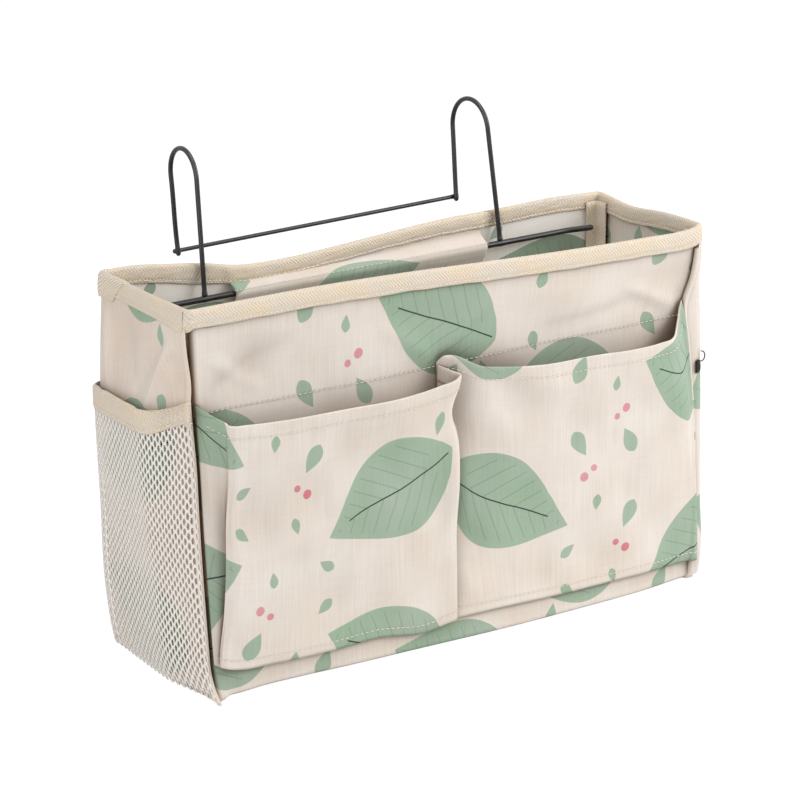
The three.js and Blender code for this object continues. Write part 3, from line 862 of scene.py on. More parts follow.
def rim_path():
    """Places round the rim and their outward directions, from the left wall by the front back to the left."""
    wide, deep = HALF_RIM, HALF_DEPTH
    corners = [(-wide, -deep, 180), (wide, -deep, 270), (wide, deep, 0), (-wide, deep, 90)]
    at, rows = np.array([-wide, TAPE_START_Y]), []
    for (x, y, first), radius in zip(corners, RIM_CORNERS):
        centre = np.array([x - math.copysign(radius, x), y - math.copysign(radius, y)])
        angle = np.radians(np.linspace(first, first + 90, 8))
        bend = centre + radius * np.stack([np.cos(angle), np.sin(angle)], -1)
        steps = max(2, round(np.linalg.norm(bend[0] - at) / TAPE_STEP))
        outward = [math.cos(math.radians(first)), math.sin(math.radians(first))]
        for share in np.arange(steps) / steps:
            rows.append([*(at + share * (bend[0] - at)), *outward])
        rows += [[*place, math.cos(turn), math.sin(turn)] for place, turn in zip(bend[:-1], angle[:-1])]
        at = bend[-1]
    last_steps = 2 + round((at[1] - TAPE_STOP_Y) / TAPE_STEP)
    rows += [[-wide, y, -1, 0] for y in np.linspace(at[1], TAPE_STOP_Y, last_steps)]
    rows = np.array(rows)
    return rows[:, :2], rows[:, 2:]


def wall_lean(place, outward, z):
    """How far the outer wall stands out of the rim's own outline, at a height below it."""
    x, y = place[..., 0], place[..., 1]
    left, right = np.clip(-outward[..., 0], 0, 1) ** 2, np.clip(outward[..., 0], 0, 1) ** 2
    front = np.clip(-outward[..., 1], 0, 1) ** 2
    return (left * (left_swell(y, z) + half_width(z) - HALF_RIM)
            + right * (half_width(z) + right_belly(y, z) - HALF_RIM) + front * (-HALF_DEPTH - front_y(x, z)))


def pillow(share, above_edge, height):
    """How far a flap of the tape stands up between its edges, with a dent along its row of stitches."""
    return height * math.sin(share * math.pi) ** 0.6 - 0.35 * hill(above_edge, 2.0, 0.9)


def tape_points(place, outward, lift=0.0, extra_drop=0.0, skew=0.0):
    """A strip folded over the rim, from the foot of its outer flap to the foot of its inner one."""
    along = run_of(place)
    x, y = place[:, 0], place[:, 1]
    side = np.abs(outward[:, 0])
    on_left = np.clip(-outward[:, 0], 0, 1) * (2.8 * smooth(-15, -57, y) - 0.4)
    outer_flap = OUTER_FLAP + on_left + extra_drop + ripples(along, 0, 21, 0.5, 6, 40)
    inner_flap = rule(INNER_FLAP, x) * (1 - side) + SIDE_INNER_FLAP * side + ripples(along, 0, 22, 0.5, 6, 40)
    over_sleeve = 1.4 * window(x, SLEEVE_FROM - 5, SLEEVE_FROM, SLEEVE_TO, SLEEVE_TO + 5) * (y > 0)
    out, inner = TAPE_OUT + lift, TAPE_IN - lift - over_sleeve
    radius = (out - inner) / 2
    top = rim_at(x, y) + lift
    rows = []
    for share in np.linspace(0, 1, 12):
        down = outer_flap - share * (outer_flap - radius)
        wave = ripples(along, 40 * share, 23, 0.25, 5, 22)
        rows.append((out + pillow(share, outer_flap - down, 0.4) + wave, -down))
    for angle in np.radians(np.linspace(0, 180, 10)[1:-1]):
        rows.append(((out + inner) / 2 + radius * math.cos(angle), radius * (math.sin(angle) - 1)))
    for share in np.linspace(0, 1, 12):
        down = radius + share * (inner_flap - radius)
        wave = ripples(along, 40 * share, 24, 0.2, 5, 22)
        rows.append((inner - pillow(share, inner_flap - down, 0.3) + wave, -down))
    points = []
    for offset, down in rows:
        slant = skew * np.clip(-down / 15, 0, 1)
        spot = place + np.stack([0 * slant, slant * (np.arange(len(x)) / (len(x) - 1)) ** 2], -1)
        z = top + down
        offset = offset + wall_lean(spot, outward, np.minimum(z, RIM))
        points.append(np.column_stack([spot + outward * offset[:, None], z]))
    return np.array(points)


rim_place, rim_outward = rim_path()
rim_tape_points = tape_points(rim_place, rim_outward)
cloth("rim_tape", rim_tape_points, TAPE_THICKNESS, binding,
      [f"rim_tape_{side}" for side in ("front", "back", "left", "right")])

# %% [markdown]
# The end of the tape is folded under on the slant and lies over its own start at the back left corner. There the
# ribs show most, because the cloth is pulled across them.

# %% Rim tape: its slanted end
END_ROWS = 16
END_FROM_Y, END_TO_Y = 42.6, 21
END_LIFT, END_DROP, END_SKEW = 0.5, 3.4, 14

last = (rim_place[:, 0] < -184) & (rim_place[:, 1] > 30)
last &= np.arange(len(last)) > len(last) // 2
straight_end = np.column_stack([np.full(END_ROWS, -HALF_RIM), np.linspace(END_FROM_Y, END_TO_Y, END_ROWS)])
end_place = np.vstack([rim_place[last], straight_end])
end_outward = np.vstack([rim_outward[last], np.tile([-1.0, 0.0], (END_ROWS, 1))])
cloth("rim_tape_end", tape_points(end_place, end_outward, END_LIFT, END_DROP, END_SKEW), TAPE_THICKNESS,
      folded_tape, [])

# %% [markdown]
# Inside, a flat tape covers each corner seam. From the front only the one in the back right corner is seen.

# %% Seam tapes inside the corners
SEAM_TAPE_HALF = 9
SEAM_TAPE_FOOT, SEAM_TAPE_BELOW_RIM = 6, 5
SEAM_TAPE_ROUND = 3.0
INSIDE = CANVAS + 1.7


def seam_tape(corner_name, sign_x, sign_y):
    """A vertical strip that turns round an inside corner."""
    def place(u, v):
        top = rim_at(sign_x * HALF_RIM, sign_y * HALF_DEPTH) - SEAM_TAPE_BELOW_RIM
        z = SEAM_TAPE_FOOT + v * (top - SEAM_TAPE_FOOT)
        inset = INSIDE + 0.6 * smooth(220, 228, z) + SEAM_TAPE_ROUND
        quarter = SEAM_TAPE_ROUND * math.pi / 4
        travel = (u - 0.5) * 2 * SEAM_TAPE_HALF * sign_x * -sign_y
        bend = np.clip(travel / quarter, -1, 1) * math.pi / 4
        past = np.sign(travel) * np.clip(np.abs(travel) - quarter, 0, None)
        x = half_width(z) - inset + SEAM_TAPE_ROUND * np.cos(math.pi / 4 - bend) - np.clip(-past, 0, None)
        y = HALF_DEPTH - inset + SEAM_TAPE_ROUND * np.sin(math.pi / 4 - bend) - np.clip(past, 0, None)
        return sign_x * x, sign_y * y, z

    cloth(f"inner_seam_{corner_name}", grid(24, 60, place), TAPE_THICKNESS, binding,
          [f"seam_tape_{corner_name}"])


seam_tape("front_left", -1, -1)
seam_tape("front_right", 1, -1)
seam_tape("back_left", -1, 1)
seam_tape("back_right", 1, 1)

# %% [markdown]
# Both front pockets are bellows pockets: cut wider than the place they cover, with the extra width folded into
# the ends. A few upright lines say where the cloth runs at its mouth, half way down and at its foot, and how far
# it stands out of the wall. The mouth is turned in and hemmed.

# %% Front pockets
POCKET_CLOTH = 1.2
POCKET_GAP = 1.4
LEAST_OUT = 0.15
LEFT_FOOT = ((-186, 22), (-182, 20.5), (-178, 19), (-141, 14.4), (-106, 14.2), (-72, 15.4), (-34, 12),
             (-20, 15), (-6, 17.5))
RIGHT_FOOT = ((-16, 16), (-7, 15.9), (23, 15.8), (71, 14.6), (130, 14), (184, 13))
# Each line: mouth x, z and out; middle x and out; foot x and out
LEFT_LINES = (
    (-190.6, 184.6, 0.2, -188.6, 0.2, -186.6, 0.2), (-185.6, 180.0, 6.4, -182.6, 1.8, -183.6, 0.5),
    (-180.6, 176.4, 12.0, -176.4, 3.8, -180.0, 0.8), (-179.2, 175.2, 14.4, -175.4, 5.2, -179.6, 1.4),
    (-178.6, 174.4, 15.8, -178.2, 6.8, -184.6, 2.2), (-177.2, 173.9, 16.6, -177.2, 8.2, -184.2, 3.0),
    (-165.0, 172.2, 16.8, -165.0, 8.6, -170.0, 1.8), (-135.0, 170.4, 17.0, -135.0, 9.8, -135.0, 0.8),
    (-93.0, 169.4, 17.2, -93.0, 10.3, -93.0, 0.8), (-50.0, 169.8, 17.8, -50.0, 10.8, -50.0, 0.8),
    (-28.0, 171.6, 18.2, -26.0, 11.6, -29.0, 1.4), (-13.0, 174.6, 18.4, -13.8, 12.4, -15.2, 3.2),
    (-10.4, 175.6, 16.4, -11.8, 10.6, -13.8, 2.6), (-13.5, 177.6, 9.0, -16.0, 5.0, -18.0, 1.4),
    (-17.7, 180.0, 0.8, -18.6, 0.5, -21.0, 0.5))
RIGHT_LINES = (
    (-19.0, 181.5, 0.5, -14.5, 0.2, -13.0, 0.2), (-16.5, 185.0, 3.6, -11.5, 0.6, -10.0, 0.3),
    (-11.5, 185.8, 6.6, -7.5, 1.0, -6.0, 0.3), (-5.5, 183.6, 9.0, -3.0, 1.4, -1.0, 0.3),
    (1.0, 179.8, 10.8, 3.0, 2.2, 5.0, 0.3), (8.0, 176.4, 12.0, 10.0, 3.6, 13.0, 0.3),
    (20.0, 174.0, 13.4, 22.0, 5.6, 25.0, 0.4), (36.0, 171.6, 14.6, 40.0, 8.2, 40.0, 0.5),
    (62.0, 169.4, 16.0, 64.0, 9.8, 64.0, 0.5), (95.0, 169.4, 17.0, 95.0, 10.6, 95.0, 0.5),
    (125.0, 168.4, 17.0, 125.0, 10.8, 125.0, 0.5), (146.0, 168.4, 16.0, 152.0, 10.6, 156.0, 0.6),
    (156.5, 168.9, 14.2, 168.0, 9.6, 172.0, 1.0), (160.5, 170.4, 12.0, 174.0, 8.0, 178.0, 2.0),
    (164.6, 174.4, 8.6, 178.4, 5.0, 180.4, 2.4), (169.4, 180.0, 4.4, 181.0, 2.4, 180.6, 1.0),
    (174.0, 188.6, 0.6, 182.6, 0.4, 180.2, 0.3))
POCKET_ROWS = 84
HEM, HEM_GAP = 9, 1.5
PINCH_X, PINCH_Z, PINCH, PINCH_IN = -11, 152, 4.2, 2.0


def pocket_surface(lines, foot, seed):
    """The place of any point on a pocket, by its share of the width and of the height."""
    lines = np.array(lines)
    knots = np.concatenate([[0], np.cumsum(np.hypot(np.diff(lines[:, 0]), np.diff(lines[:, 2])))])
    knots = knots / knots[-1]

    def place(u, v):
        x1, z1, out1, x2, out2, x0, out0 = np.moveaxis(through(knots, lines, u), -1, 0)
        z0 = rule(foot, x0)
        at_foot, at_middle, at_mouth = 2 * (v - 0.5) * (v - 1), -4 * v * (v - 1), 2 * v * (v - 0.5)
        x = x0 * at_foot + x2 * at_middle + x1 * at_mouth
        out = np.clip(out0 * at_foot + out2 * at_middle + out1 * at_mouth, LEAST_OUT, None)
        z = z0 + v * (z1 - z0)
        loose = window(v, 0, 0.12, 0.9, 1) * window(u, 0, 0.12, 0.88, 1)
        waves = ripples(x, z, seed, 2.8, 30, 110) + ripples(x, z * 0.3, seed + 40, 1.3, 16, 40)
        out = out + waves * loose
        pinched = hill(z, PINCH_Z, 13) * hill(x, PINCH_X, 9) * (out > 3)
        x, out = x - PINCH * pinched, out - PINCH_IN * pinched
        over_seam = 1.6 * smooth(-4, 0, x - rule(RIGHT_SEAM, z))
        to_seam = seam_back(z) * by_seam(x, z)
        return x, front_y(x, z) - POCKET_GAP - np.maximum(out, LEAST_OUT) - over_seam + to_seam, z

    return place, knots


def unit(vectors):
    return vectors / np.maximum(np.linalg.norm(vectors, axis=-1, keepdims=True), 1e-9)


def normals(points):
    """The outward directions of a grid of points."""
    return unit(np.cross(np.gradient(points, axis=1), np.gradient(points, axis=0)))


def rows_deep(points, depth):
    """How many rows from the top edge of a grid reach this deep."""
    return round(depth / np.linalg.norm(points[-1] - points[-2], axis=-1).mean())


def hemmed(points):
    """The grid with its top edge turned in and laid against the inside."""
    inward = -normals(points)
    turn = [points[-1] + inward[-1] * HEM_GAP * (1 - math.cos(angle)) / 2
            + np.array([0, 0, HEM_GAP / 2 * math.sin(angle)]) for angle in np.radians((45, 90, 135))]
    inner = [points[-1 - k] + inward[-1 - k] * HEM_GAP for k in range(rows_deep(points, HEM) + 1)]
    return np.concatenate([points, turn, inner])


def pocket_columns(knots, per_fold, per_flat):
    """More columns where the cloth folds and fewer where it is flat."""
    columns = [0.0]
    for low, high in zip(knots[:-1], knots[1:]):
        count = per_fold if high - low < 0.06 else round(per_flat * (high - low))
        columns += list(np.linspace(low, high, count + 1)[1:])
    return np.array(columns)


def make_pocket(name, lines, foot, seed, shift, node):
    place, knots = pocket_surface(lines, foot, seed)
    points = grid(pocket_columns(knots, 7, 110), POCKET_ROWS, place)
    cloth(name, hemmed(points), POCKET_CLOTH, canvas_print, [node], shift=shift)
    return points


left_pocket_points = make_pocket("left_pocket", LEFT_LINES, LEFT_FOOT, 31, (70, 12), "front_pocket_left")
right_pocket_points = make_pocket("right_pocket", RIGHT_LINES, RIGHT_FOOT, 37, (11, 96), "front_pocket_right")

# %% [markdown]
# The sleeve is a strip of the same canvas inside the back wall. It is sewn flat below, goes round the bar and is
# caught under the rim tape above. Its row of stitches just above the bar keeps the bar in its tunnel.

# %% Sleeve for the bar
SLEEVE_SECTION = np.array((
    (52.5, 188), (52.3, 194), (51.2, 200), (48.4, 206.5), (45.3, 211.5), (44.0, 215.7), (45.2, 218.8),
    (48.2, 220.6), (50.6, 222.4), (52.0, 224.6), (52.5, 228), (52.5, 232)))
SLEEVE_STRETCH_FROM, SLEEVE_TOP = 220, 232
SLEEVE_BELOW_RIM = 6


def sleeve_place(u, v):
    x = SLEEVE_FROM + u * (SLEEVE_TO - SLEEVE_FROM)
    knots = run_of(SLEEVE_SECTION)
    y, z = np.moveaxis(through(knots / knots[-1], SLEEVE_SECTION, v), -1, 0)
    top = rim_at(x, HALF_DEPTH) - SLEEVE_BELOW_RIM
    low = SLEEVE_STRETCH_FROM
    z = np.where(z > low, low + (z - low) * (top - low) / (SLEEVE_TOP - low), z)
    return x, y + ripples(x, z, 44, 0.8) * window(z, 188, 198, 207, 213), z


sleeve_points = grid(130, 60, sleeve_place)
cloth("sleeve", sleeve_points, POCKET_CLOTH, sleeve_canvas, ["bar_sleeve"], shift=(-38, 52))

# %% [markdown]
# The net is a knitted mesh with six-sided holes in half-drop columns. Geometry Nodes makes it flat: a grid whose
# odd columns are moved by half a hole, its triangles, and their dual, which gives one six-sided face for each
# hole. Each face is then drawn in and its middle deleted, so that only the strands are left. The flat net is
# laid over the wall afterwards, column by column, just as a sewn net follows the side that carries it.

# %% Node trees for geometry
def new_tree(name, inputs):
    """An empty node tree, a first Number in it, and Numbers for its inputs: name and whether whole."""
    tree = bpy.data.node_groups.new(name, "GeometryNodeTree")
    tree.interface.new_socket("Geometry", in_out="INPUT", socket_type="NodeSocketGeometry")
    for label, whole in inputs:
        kind = "NodeSocketInt" if whole else "NodeSocketFloat"
        tree.interface.new_socket(label, in_out="INPUT", socket_type=kind)
    tree.interface.new_socket("Geometry", in_out="OUTPUT", socket_type="NodeSocketGeometry")
    start = Number(tree, tree.nodes.new("NodeGroupInput").outputs[0])
    return tree, start, [start.other_output(i + 1) for i in range(len(inputs))]


def close_tree(tree, geometry, material):
    """Ends a tree: instances made real, then the material."""
    real = geometry.node("GeometryNodeRealizeInstances", None, {"Geometry": geometry})
    dressed = real.node("GeometryNodeSetMaterial", None, {"Geometry": real, "Material": material})
    tree.links.new(dressed.socket, tree.nodes.new("NodeGroupOutput").inputs[0])
    print(f"{tree.name}: {len(tree.nodes)} nodes")


def baked(tree, settings, name, points=(), edges=()):
    """A new object with the mesh that a tree makes from points and edges, its named inputs set."""
    start = bpy.data.meshes.new(name)
    start.from_pydata(np.asarray(points, float).tolist(), list(edges), [])
    holder = bpy.data.objects.new(name, start)
    bpy.context.scene.collection.objects.link(holder)
    radii = settings.pop("radii", None)
    if radii is not None:
        start.attributes.new("radius", "FLOAT", "POINT").data.foreach_set("value", radii.astype(np.float32))
    maker = holder.modifiers.new("maker", "NODES")
    maker.node_group = tree
    for item in tree.interface.items_tree:
        if item.in_out == "INPUT" and item.name in settings:
            maker[item.identifier] = settings[item.name]
    bpy.context.view_layer.update()
    view = bpy.context.evaluated_depsgraph_get()
    mesh = bpy.data.meshes.new_from_object(holder.evaluated_get(view), depsgraph=view)
    holder.modifiers.remove(maker)
    holder.data = mesh
    mesh.name = name
    return holder


# %% Net: the node tree
NET_COLUMNS = 50
NET_ROWS = 29
NET_PITCH = 2.4
NET_STEP = 6.0
NET_HOLE = 0.68
EVEN_SHIFT = 200.25           # an even number, so that column numbers stay whole and positive

net_tree, net_start, net_inputs = new_tree("knitted_net", [
    ("Columns", True), ("Rows", True), ("Pitch", False), ("Step", False), ("Hole share", False)])
columns, rows, pitch, step, hole = net_inputs
flat = net_start.node("GeometryNodeMeshGrid", None, {
    "Size X": (columns - 1) * pitch, "Size Y": (rows - 1) * step, "Vertices X": columns, "Vertices Y": rows})
position = net_start.node("GeometryNodeInputPosition")
across = position.node("ShaderNodeSeparateXYZ", None, {0: position})
column_number = (across / pitch + EVEN_SHIFT).floor()
shifted = net_start.node("ShaderNodeCombineXYZ", None, {1: (column_number % 2) * step * 0.5})
flat = flat.node("GeometryNodeSetPosition", None, {"Geometry": flat, "Offset": shifted})
flat = flat.node("GeometryNodeTriangulate", {"quad_method": "SHORTEST_DIAGONAL"}, {"Mesh": flat})
cells = flat.node("GeometryNodeDualMesh", None, {"Mesh": flat})
drawn = cells.node("GeometryNodeExtrudeMesh", None, {"Mesh": cells, "Offset Scale": 0.0, "Individual": True})
middle = drawn.other_output("Top")
drawn = drawn.node("GeometryNodeScaleElements", None, {"Geometry": drawn, "Selection": middle, "Scale": hole})
strands = drawn.node("GeometryNodeDeleteGeometry", {"domain": "FACE"},
                     {"Geometry": drawn, "Selection": middle})
close_tree(net_tree, strands, net_yarn)

# %% Net: laid over the left wall
NET_TOP = ((-60, 191), (-54.3, 188.7), (-38.6, 181.6), (-21.7, 176.5), (-5.5, 175.8), (16, 175), (38, 174.4),
           (56, 173.4))
NET_START, NET_END = 0.004, 0.961
NET_FOOT, NET_UNDER_TAPE = 1.2, 8
NET_THREAD = 0.6
NET_OFF_WALL, NET_AT_SEAM, NET_MOUTH, NET_AT_BACK = 2.3, 1.5, 3.6, 1.0
PROBES, PROBE_HEIGHT, PROBE_AWAY = 240, 90.0, 2.0


def over_left_wall(u, z, away):
    """A point on the left wall by its share of the width and its height, moved away from the cloth."""
    x, y, z = left_place(u, z / (RIM - WALL_TOP_GAP))
    turn = smooth(1 - LIP_SHARE, 1 - 0.2 * LIP_SHARE, u) * math.pi / 2
    return np.stack([x - away * np.cos(turn), y - away * np.sin(turn), z], -1)


def net_away(u, z):
    """How far the net stands off the wall: close at its sewn edges, loose at its mouth."""
    belly = np.sin(np.clip(u / 0.93, 0, 1) * math.pi) ** 0.8
    sewn = NET_AT_BACK * smooth(0.12, 0, u) - NET_AT_SEAM * smooth(0.86, 0.95, u)
    return NET_OFF_WALL + sewn + (NET_MOUTH * smooth(60, 172, z) + ripples(u * 115, z, 51, 0.6)) * belly


def net_top(u):
    return rule(NET_TOP, HALF_DEPTH - u * 2 * HALF_DEPTH)


net = baked(net_tree, {"Columns": NET_COLUMNS, "Rows": NET_ROWS, "Pitch": NET_PITCH * MM,
                       "Step": NET_STEP * MM, "Hole share": NET_HOLE}, "side_net")
net_flat = np.array([vertex.co for vertex in net.data.vertices])[:, :2] / MM
net_size = np.ptp(net_flat, axis=0)
share_across, share_up = ((net_flat - net_flat.min(axis=0)) / net_size).T
probe = np.linspace(NET_START, NET_END, PROBES)
probe_run = run_of(over_left_wall(probe, np.full(PROBES, PROBE_HEIGHT), np.full(PROBES, PROBE_AWAY)))
net_u = np.interp(share_across, probe_run / probe_run[-1], probe)
net_z = NET_FOOT + share_up * (net_top(net_u) - NET_UNDER_TAPE - NET_FOOT)
net_points = over_left_wall(net_u, net_z, net_away(net_u, net_z))
net.data.vertices.foreach_set("co", (net_points * MM).ravel())
thicken(net, NET_THREAD, 0)
belongs(net, "bag", ["net_pocket"])
print(f"net: {len(net_points)} points, {net_size[0]:.0f} x {net_size[1]:.0f} mm")

# %% [markdown]
# The mouth of the net is bound with the same tape. At its front end the tape is gathered into the corner seam,
# so its ribs crowd together there.

# %% Tape along the net's mouth
NET_TAPE_START = 0.002
NET_TAPE_HEIGHT, NET_TAPE_CLOTH = 15, 0.8
NET_TAPE_SECTION = ((0, 0.9), (0.3, 1.4), (0.8, 1.5), (0.93, 1.3), (1.0, 0.2), (0.97, -0.9), (0.6, -1.2))
GATHERS = 40


def net_tape_place(u, v):
    u = NET_TAPE_START + u * (NET_END - NET_TAPE_START)
    top = net_top(u)
    gather = window(u, 0.62, 0.84, 0.90, 0.95)
    section = through(np.linspace(0, 1, len(NET_TAPE_SECTION)), NET_TAPE_SECTION, v)
    share, out = np.moveaxis(section, -1, 0)
    z = top - NET_TAPE_HEIGHT * (1 - 0.22 * gather) * (1 - share)
    ribs = 0.5 * np.sin(u * 2 * math.pi * GATHERS + share * 6) + 1.4 * np.sin(share * math.pi * 1.6)
    points = over_left_wall(u, z, net_away(u, np.minimum(z, top)) + out + gather * ribs * (v < 0.75))
    return tuple(np.moveaxis(points, -1, 0))


net_tape_points = grid(150, 26, net_tape_place)
cloth("net_tape", net_tape_points, NET_TAPE_CLOTH, binding, ["net_pocket_tape"])

# %% [markdown]
# The frame is bent steel wire with its joints welded. A node tree turns a line of points into wire: it reads the
# radius of each point, so that a wire's end can be rounded and a weld can swell a little.

# %% Wire: node tree and bends
WIRE_SIDES = 16

wire_tree, wire_start, (wire_sides,) = new_tree("bent_wire", [("Sides", True)])
line = wire_start.node("GeometryNodeMeshToCurve", None, {"Mesh": wire_start})
width = line.node("GeometryNodeInputNamedAttribute", {"data_type": "FLOAT"}, {"Name": "radius"})
ring = line.node("GeometryNodeCurvePrimitiveCircle", None, {"Resolution": wire_sides, "Radius": 1.0})
tube = line.node("GeometryNodeCurveToMesh", None,
                 {"Curve": line, "Profile Curve": ring, "Scale": width, "Fill Caps": True})
tube = tube.node("GeometryNodeSetShadeSmooth", None, {"Geometry": tube})
close_tree(wire_tree, tube, black_paint)


def rounded_ends(points, radius):
    """Extra points close to both ends of a line, for the wire's rounded ends."""
    first, last = unit(points[1] - points[0]), unit(points[-2] - points[-1])
    near = [0, 0.08, 0.25, 0.5, 1.0]
    return np.vstack([[points[0] + first * radius * k for k in near], points[1:-1],
                      [points[-1] + last * radius * k for k in reversed(near)]])


def wire(name, points, radius, body, node, bulges=()):
    """A wire along points in millimetres. A bulge is a place, a reach and an extra radius, for a weld."""
    points = rounded_ends(np.asarray(points, float), radius)
    along = run_of(points)
    widths = np.full(len(points), radius)
    for place, reach, extra in bulges:
        widths += extra * hill(np.linalg.norm(points - np.array(place), axis=1), 0, reach)
    to_end = np.minimum(along, along[-1] - along)
    widths = widths * np.sqrt(np.clip(1 - np.clip(1 - to_end / radius, 0, 0.96) ** 2, 0, 1))
    edges = [(i, i + 1) for i in range(len(points) - 1)]
    made = baked(wire_tree, {"Sides": WIRE_SIDES, "radii": widths * MM}, name, points * MM, edges)
    belongs(made, body, [node])
    print(f"{name}: {along[-1]:.0f} mm of wire")


# %% Wire frame
LEAN = math.radians(7.6)
HOOK_RADIUS, BAR_RADIUS, CROSSBAR_RADIUS = 1.55, 1.9, 1.35
BAR_CUT_LEFT, BAR_CUT_RIGHT = 3.5, 6
BAR_BEND, BEND_RUN_LEFT, BEND_RUN_RIGHT = 5, 17, 20
HOOK_REACH, HOOK_INWARD = 38.2, 6
HOOK_FOOT, TAIL_BELOW_CROSSBAR = 1.2, 1.6
WELD_RISE = 1.5
CROSSBAR_Y = HOOK_REACH + HOOK_RADIUS + CROSSBAR_RADIUS - 0.15
CROSSBAR_OVERHANG, CROSSBAR_POINTS = 2.2, 90
# Node, place along the bar, side it leans to, height, draw-in of its back leg, height of the crossbar there
HOOK_PLACES = (("hook_left", -120, 1, 93.2, 3.4, 26.2), ("hook_right", 105.8, -1, 95, 0.8, 29.2))


def leaned(points):
    """From the frame's own upright position to the bag's, where it leans back on the rim."""
    points = np.asarray(points, float)
    y = points[:, 1] * math.cos(LEAN) + points[:, 2] * math.sin(LEAN)
    z = points[:, 2] * math.cos(LEAN) - points[:, 1] * math.sin(LEAN)
    return np.column_stack([points[:, 0], y + BAR_Y, z + BAR_Z])


def hook_points(x, inward, rise, draw_in, crossbar_z):
    half = HOOK_REACH / 2
    turn = rise - half
    tail = crossbar_z - CROSSBAR_RADIUS - TAIL_BELOW_CROSSBAR
    up = [(0, z) for z in np.linspace(HOOK_FOOT, turn, 40)]
    over = [(half - half * math.cos(a), turn + half * math.sin(a)) for a in np.linspace(0, math.pi, 40)[1:]]
    down = [(HOOK_REACH, z) for z in np.linspace(turn, tail, 30)[1:]]
    path = np.array(up + over + down)
    path[:, 0] -= draw_in * path[:, 0] / HOOK_REACH * smooth(30, 78, path[:, 1])
    along = run_of(path)
    return np.column_stack([x + inward * HOOK_INWARD * along / along[-1], path])


bar_low, bar_high = box_mm("frame_bar")
bar_start, bar_stop = bar_low[0] + BAR_CUT_LEFT, bar_high[0] - BAR_CUT_RIGHT
bar_x = np.linspace(bar_start, bar_stop, 120)
bend = smooth(bar_stop - BEND_RUN_RIGHT, bar_stop, bar_x) + smooth(bar_start + BEND_RUN_LEFT, bar_start, bar_x)
feet = [(x, BAR_Y, BAR_Z + WELD_RISE) for _, x, *_ in HOOK_PLACES]
bar_line = np.column_stack([bar_x, -BAR_BEND * bend, 0 * bar_x])
wire("bar", leaned(bar_line), BAR_RADIUS, "hook_frame", "frame_bar", [(foot, 2.6, 0.35) for foot in feet])

tails = []
for name, x, *shape in HOOK_PLACES:
    points = hook_points(x, *shape)
    crossing = points[-3][0]
    tails.append((crossing, CROSSBAR_Y, shape[-1]))
    foot_weld, tail_weld = leaned([(x, 0, WELD_RISE), (crossing, HOOK_REACH, shape[-1])])
    wire(f"wire_{name}", leaned(points), HOOK_RADIUS, "hook_frame", name,
         [(foot_weld, 2.4, 0.5), (tail_weld, 2.0, 0.2)])
crossbar_x = np.linspace(tails[0][0] - CROSSBAR_OVERHANG, tails[1][0] + CROSSBAR_OVERHANG, CROSSBAR_POINTS)
crossbar_z = np.interp(crossbar_x, [tail[0] for tail in tails], [tail[2] for tail in tails])
crossbar_line = np.column_stack([crossbar_x, np.full(CROSSBAR_POINTS, CROSSBAR_Y), crossbar_z])
wire("crossbar", leaned(crossbar_line), CROSSBAR_RADIUS, "hook_frame", "hook_crossbar",
     [(place, 2.0, 0.3) for place in leaned(tails)])

# %% [markdown]
# On the right side a small folded ribbon is caught by the wall, with a hook of thin wire in it. They are a few
# pixels in the photograph, so their form is a guess. The hook stands clear of the outline there.

# %% Side tab and its hook
TAB_X, TAB_Z, TAB_WIDTH, TAB_HEIGHT = 187.6, 142, 3.4, 8.6
TAB_Y = -HALF_DEPTH - 1.6
TAB_TOP = TAB_Z + TAB_HEIGHT / 2
TAB_CLOTH = 1.1
EYE_RADIUS, EYE_OUT, EYE_UP, EYE_STRETCH = 2.8, 2.4, 2.6, 1.2
SIDE_WIRE_RADIUS = 0.4
SIDE_WIRE_Y = TAB_Y - 0.6


def tab_place(u, v):
    x = TAB_X + (u - 0.5) * TAB_WIDTH
    z = TAB_Z + (v - 0.5) * TAB_HEIGHT
    return x, TAB_Y + 0.25 * (x - TAB_X) - 1.3 * np.sin(v * math.pi) ** 0.7, z


cloth("ribbon_tab", grid(8, 16, tab_place), TAB_CLOTH, ribbon, ["side_tab"])
eye = [(TAB_X + EYE_OUT + EYE_RADIUS * math.cos(angle), SIDE_WIRE_Y,
        TAB_TOP + EYE_UP + EYE_RADIUS * EYE_STRETCH * math.sin(angle))
       for angle in np.radians(np.linspace(-140, 100, 40))]
stem = [(TAB_X, SIDE_WIRE_Y, TAB_TOP - 4), (TAB_X + 0.2, SIDE_WIRE_Y, TAB_TOP - 1)]
wire("ribbon_hook", stem + eye, SIDE_WIRE_RADIUS, "bag", "side_hook")

# %% [markdown]
# Stitches come last, because they follow edges that are now known. Another node tree sets a grain of thread at
# even steps along each line, with a little disorder from a fixed seed, as a machine on thick cloth leaves it.

# %% Stitches: node tree
STITCH_PITCH, STITCH_LENGTH, STITCH_RADIUS = 3.6, 2.7, 0.3
STITCH_DISORDER = 0.07

stitch_tree, stitch_start, (pitch, length, radius, seed) = new_tree(
    "stitches", [("Pitch", False), ("Length", False), ("Radius", False), ("Seed", True)])
line = stitch_start.node("GeometryNodeMeshToCurve", None, {"Mesh": stitch_start})
spots = line.node("GeometryNodeCurveToPoints", {"mode": "LENGTH"}, {"Curve": line, "Length": pitch})
ball = line.node("GeometryNodeMeshUVSphere", None, {"Segments": 8, "Rings": 5, "Radius": 1.0})
size = line.node("ShaderNodeCombineXYZ", None, {0: radius, 1: radius, 2: length * 0.5})
ball = ball.node("GeometryNodeTransform", None, {"Geometry": ball, "Scale": size})
ball = ball.node("GeometryNodeSetShadeSmooth", None, {"Geometry": ball})
wild = line.node("FunctionNodeRandomValue", {"data_type": "FLOAT_VECTOR"}, {
    0: (-STITCH_DISORDER, -STITCH_DISORDER, 0), 1: (STITCH_DISORDER, STITCH_DISORDER, 0), "Seed": seed})
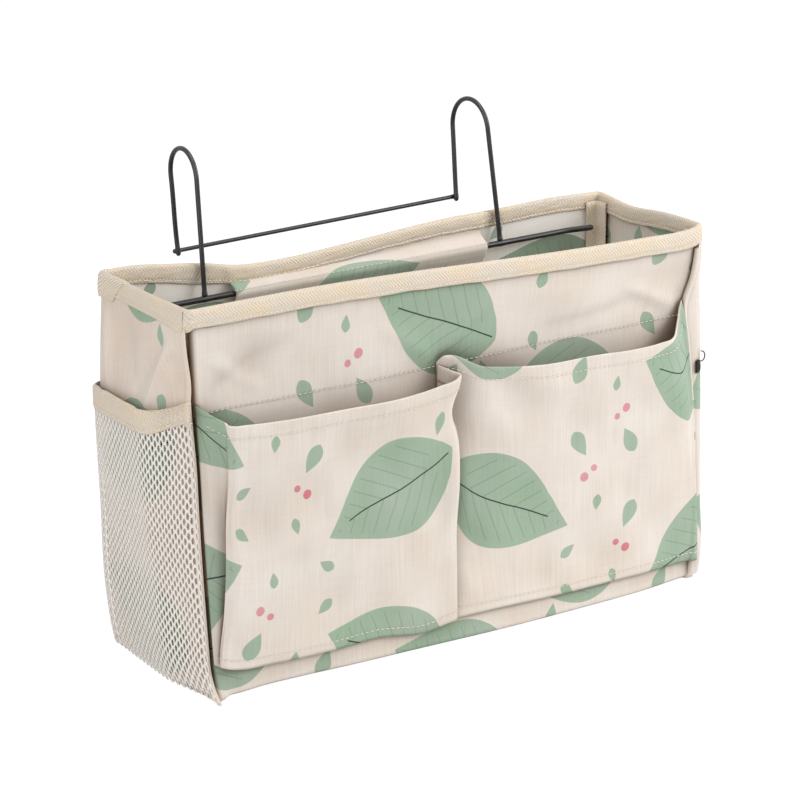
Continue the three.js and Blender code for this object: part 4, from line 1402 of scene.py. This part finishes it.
sewn = spots.node("GeometryNodeInstanceOnPoints", None,
                  {"Points": spots, "Instance": ball, "Rotation": spots.other_output("Rotation")})
sewn = sewn.node("GeometryNodeRotateInstances", None, {"Instances": sewn, "Rotation": wild})
close_tree(stitch_tree, sewn, sewing_thread)


def stitches(name, lines, seed):
    """One mesh of stitches along several lines of points in millimetres."""
    points, edges = [], []
    for line_points in lines:
        first = len(points)
        points += list(line_points)
        edges += [(i, i + 1) for i in range(first, len(points) - 1)]
    made = baked(stitch_tree, {"Pitch": STITCH_PITCH * MM, "Length": STITCH_LENGTH * MM,
                               "Radius": STITCH_RADIUS * MM, "Seed": seed}, name, np.array(points) * MM, edges)
    belongs(made, "bag", [])
    print(f"{name}: {len(made.data.polygons)} faces of thread")


# %% Stitches: the lines
TOPSTITCH_FROM, TOPSTITCH_TO, TOPSTITCH_Z, TOPSTITCH_POINTS = -186, 172, 179.0, 240
TOPSTITCH_OUT = 0.05
HEM_STITCHES = 8


def lifted_row(points, row, lift=0.12):
    """A row of a grid of cloth, raised to lie on its face."""
    return points[row] + normals(points)[row] * lift


def hem_row(points):
    return lifted_row(points, len(points) - 1 - rows_deep(points, HEM_STITCHES))


stitches("rim_stitches", [lifted_row(rim_tape_points, 2, 0.1), lifted_row(rim_tape_points, -3, 0.1)], 1)
stitches("pocket_stitches", [
    hem_row(left_pocket_points)[6:-6], hem_row(right_pocket_points)[6:-6],
    lifted_row(left_pocket_points, 3)[4:-4], lifted_row(right_pocket_points, 3)[4:-4]], 2)
topstitch_x = np.linspace(TOPSTITCH_FROM, TOPSTITCH_TO, TOPSTITCH_POINTS)
topstitch_y = front_y(topstitch_x, TOPSTITCH_Z) - TOPSTITCH_OUT
topstitch = np.column_stack([topstitch_x, topstitch_y, np.full(TOPSTITCH_POINTS, TOPSTITCH_Z)])
stitches("body_stitches", [topstitch, lifted_row(sleeve_points, 39), lifted_row(sleeve_points, 4)], 3)
stitches("net_tape_stitches", [lifted_row(net_tape_points, 3), lifted_row(net_tape_points, 13)], 4)
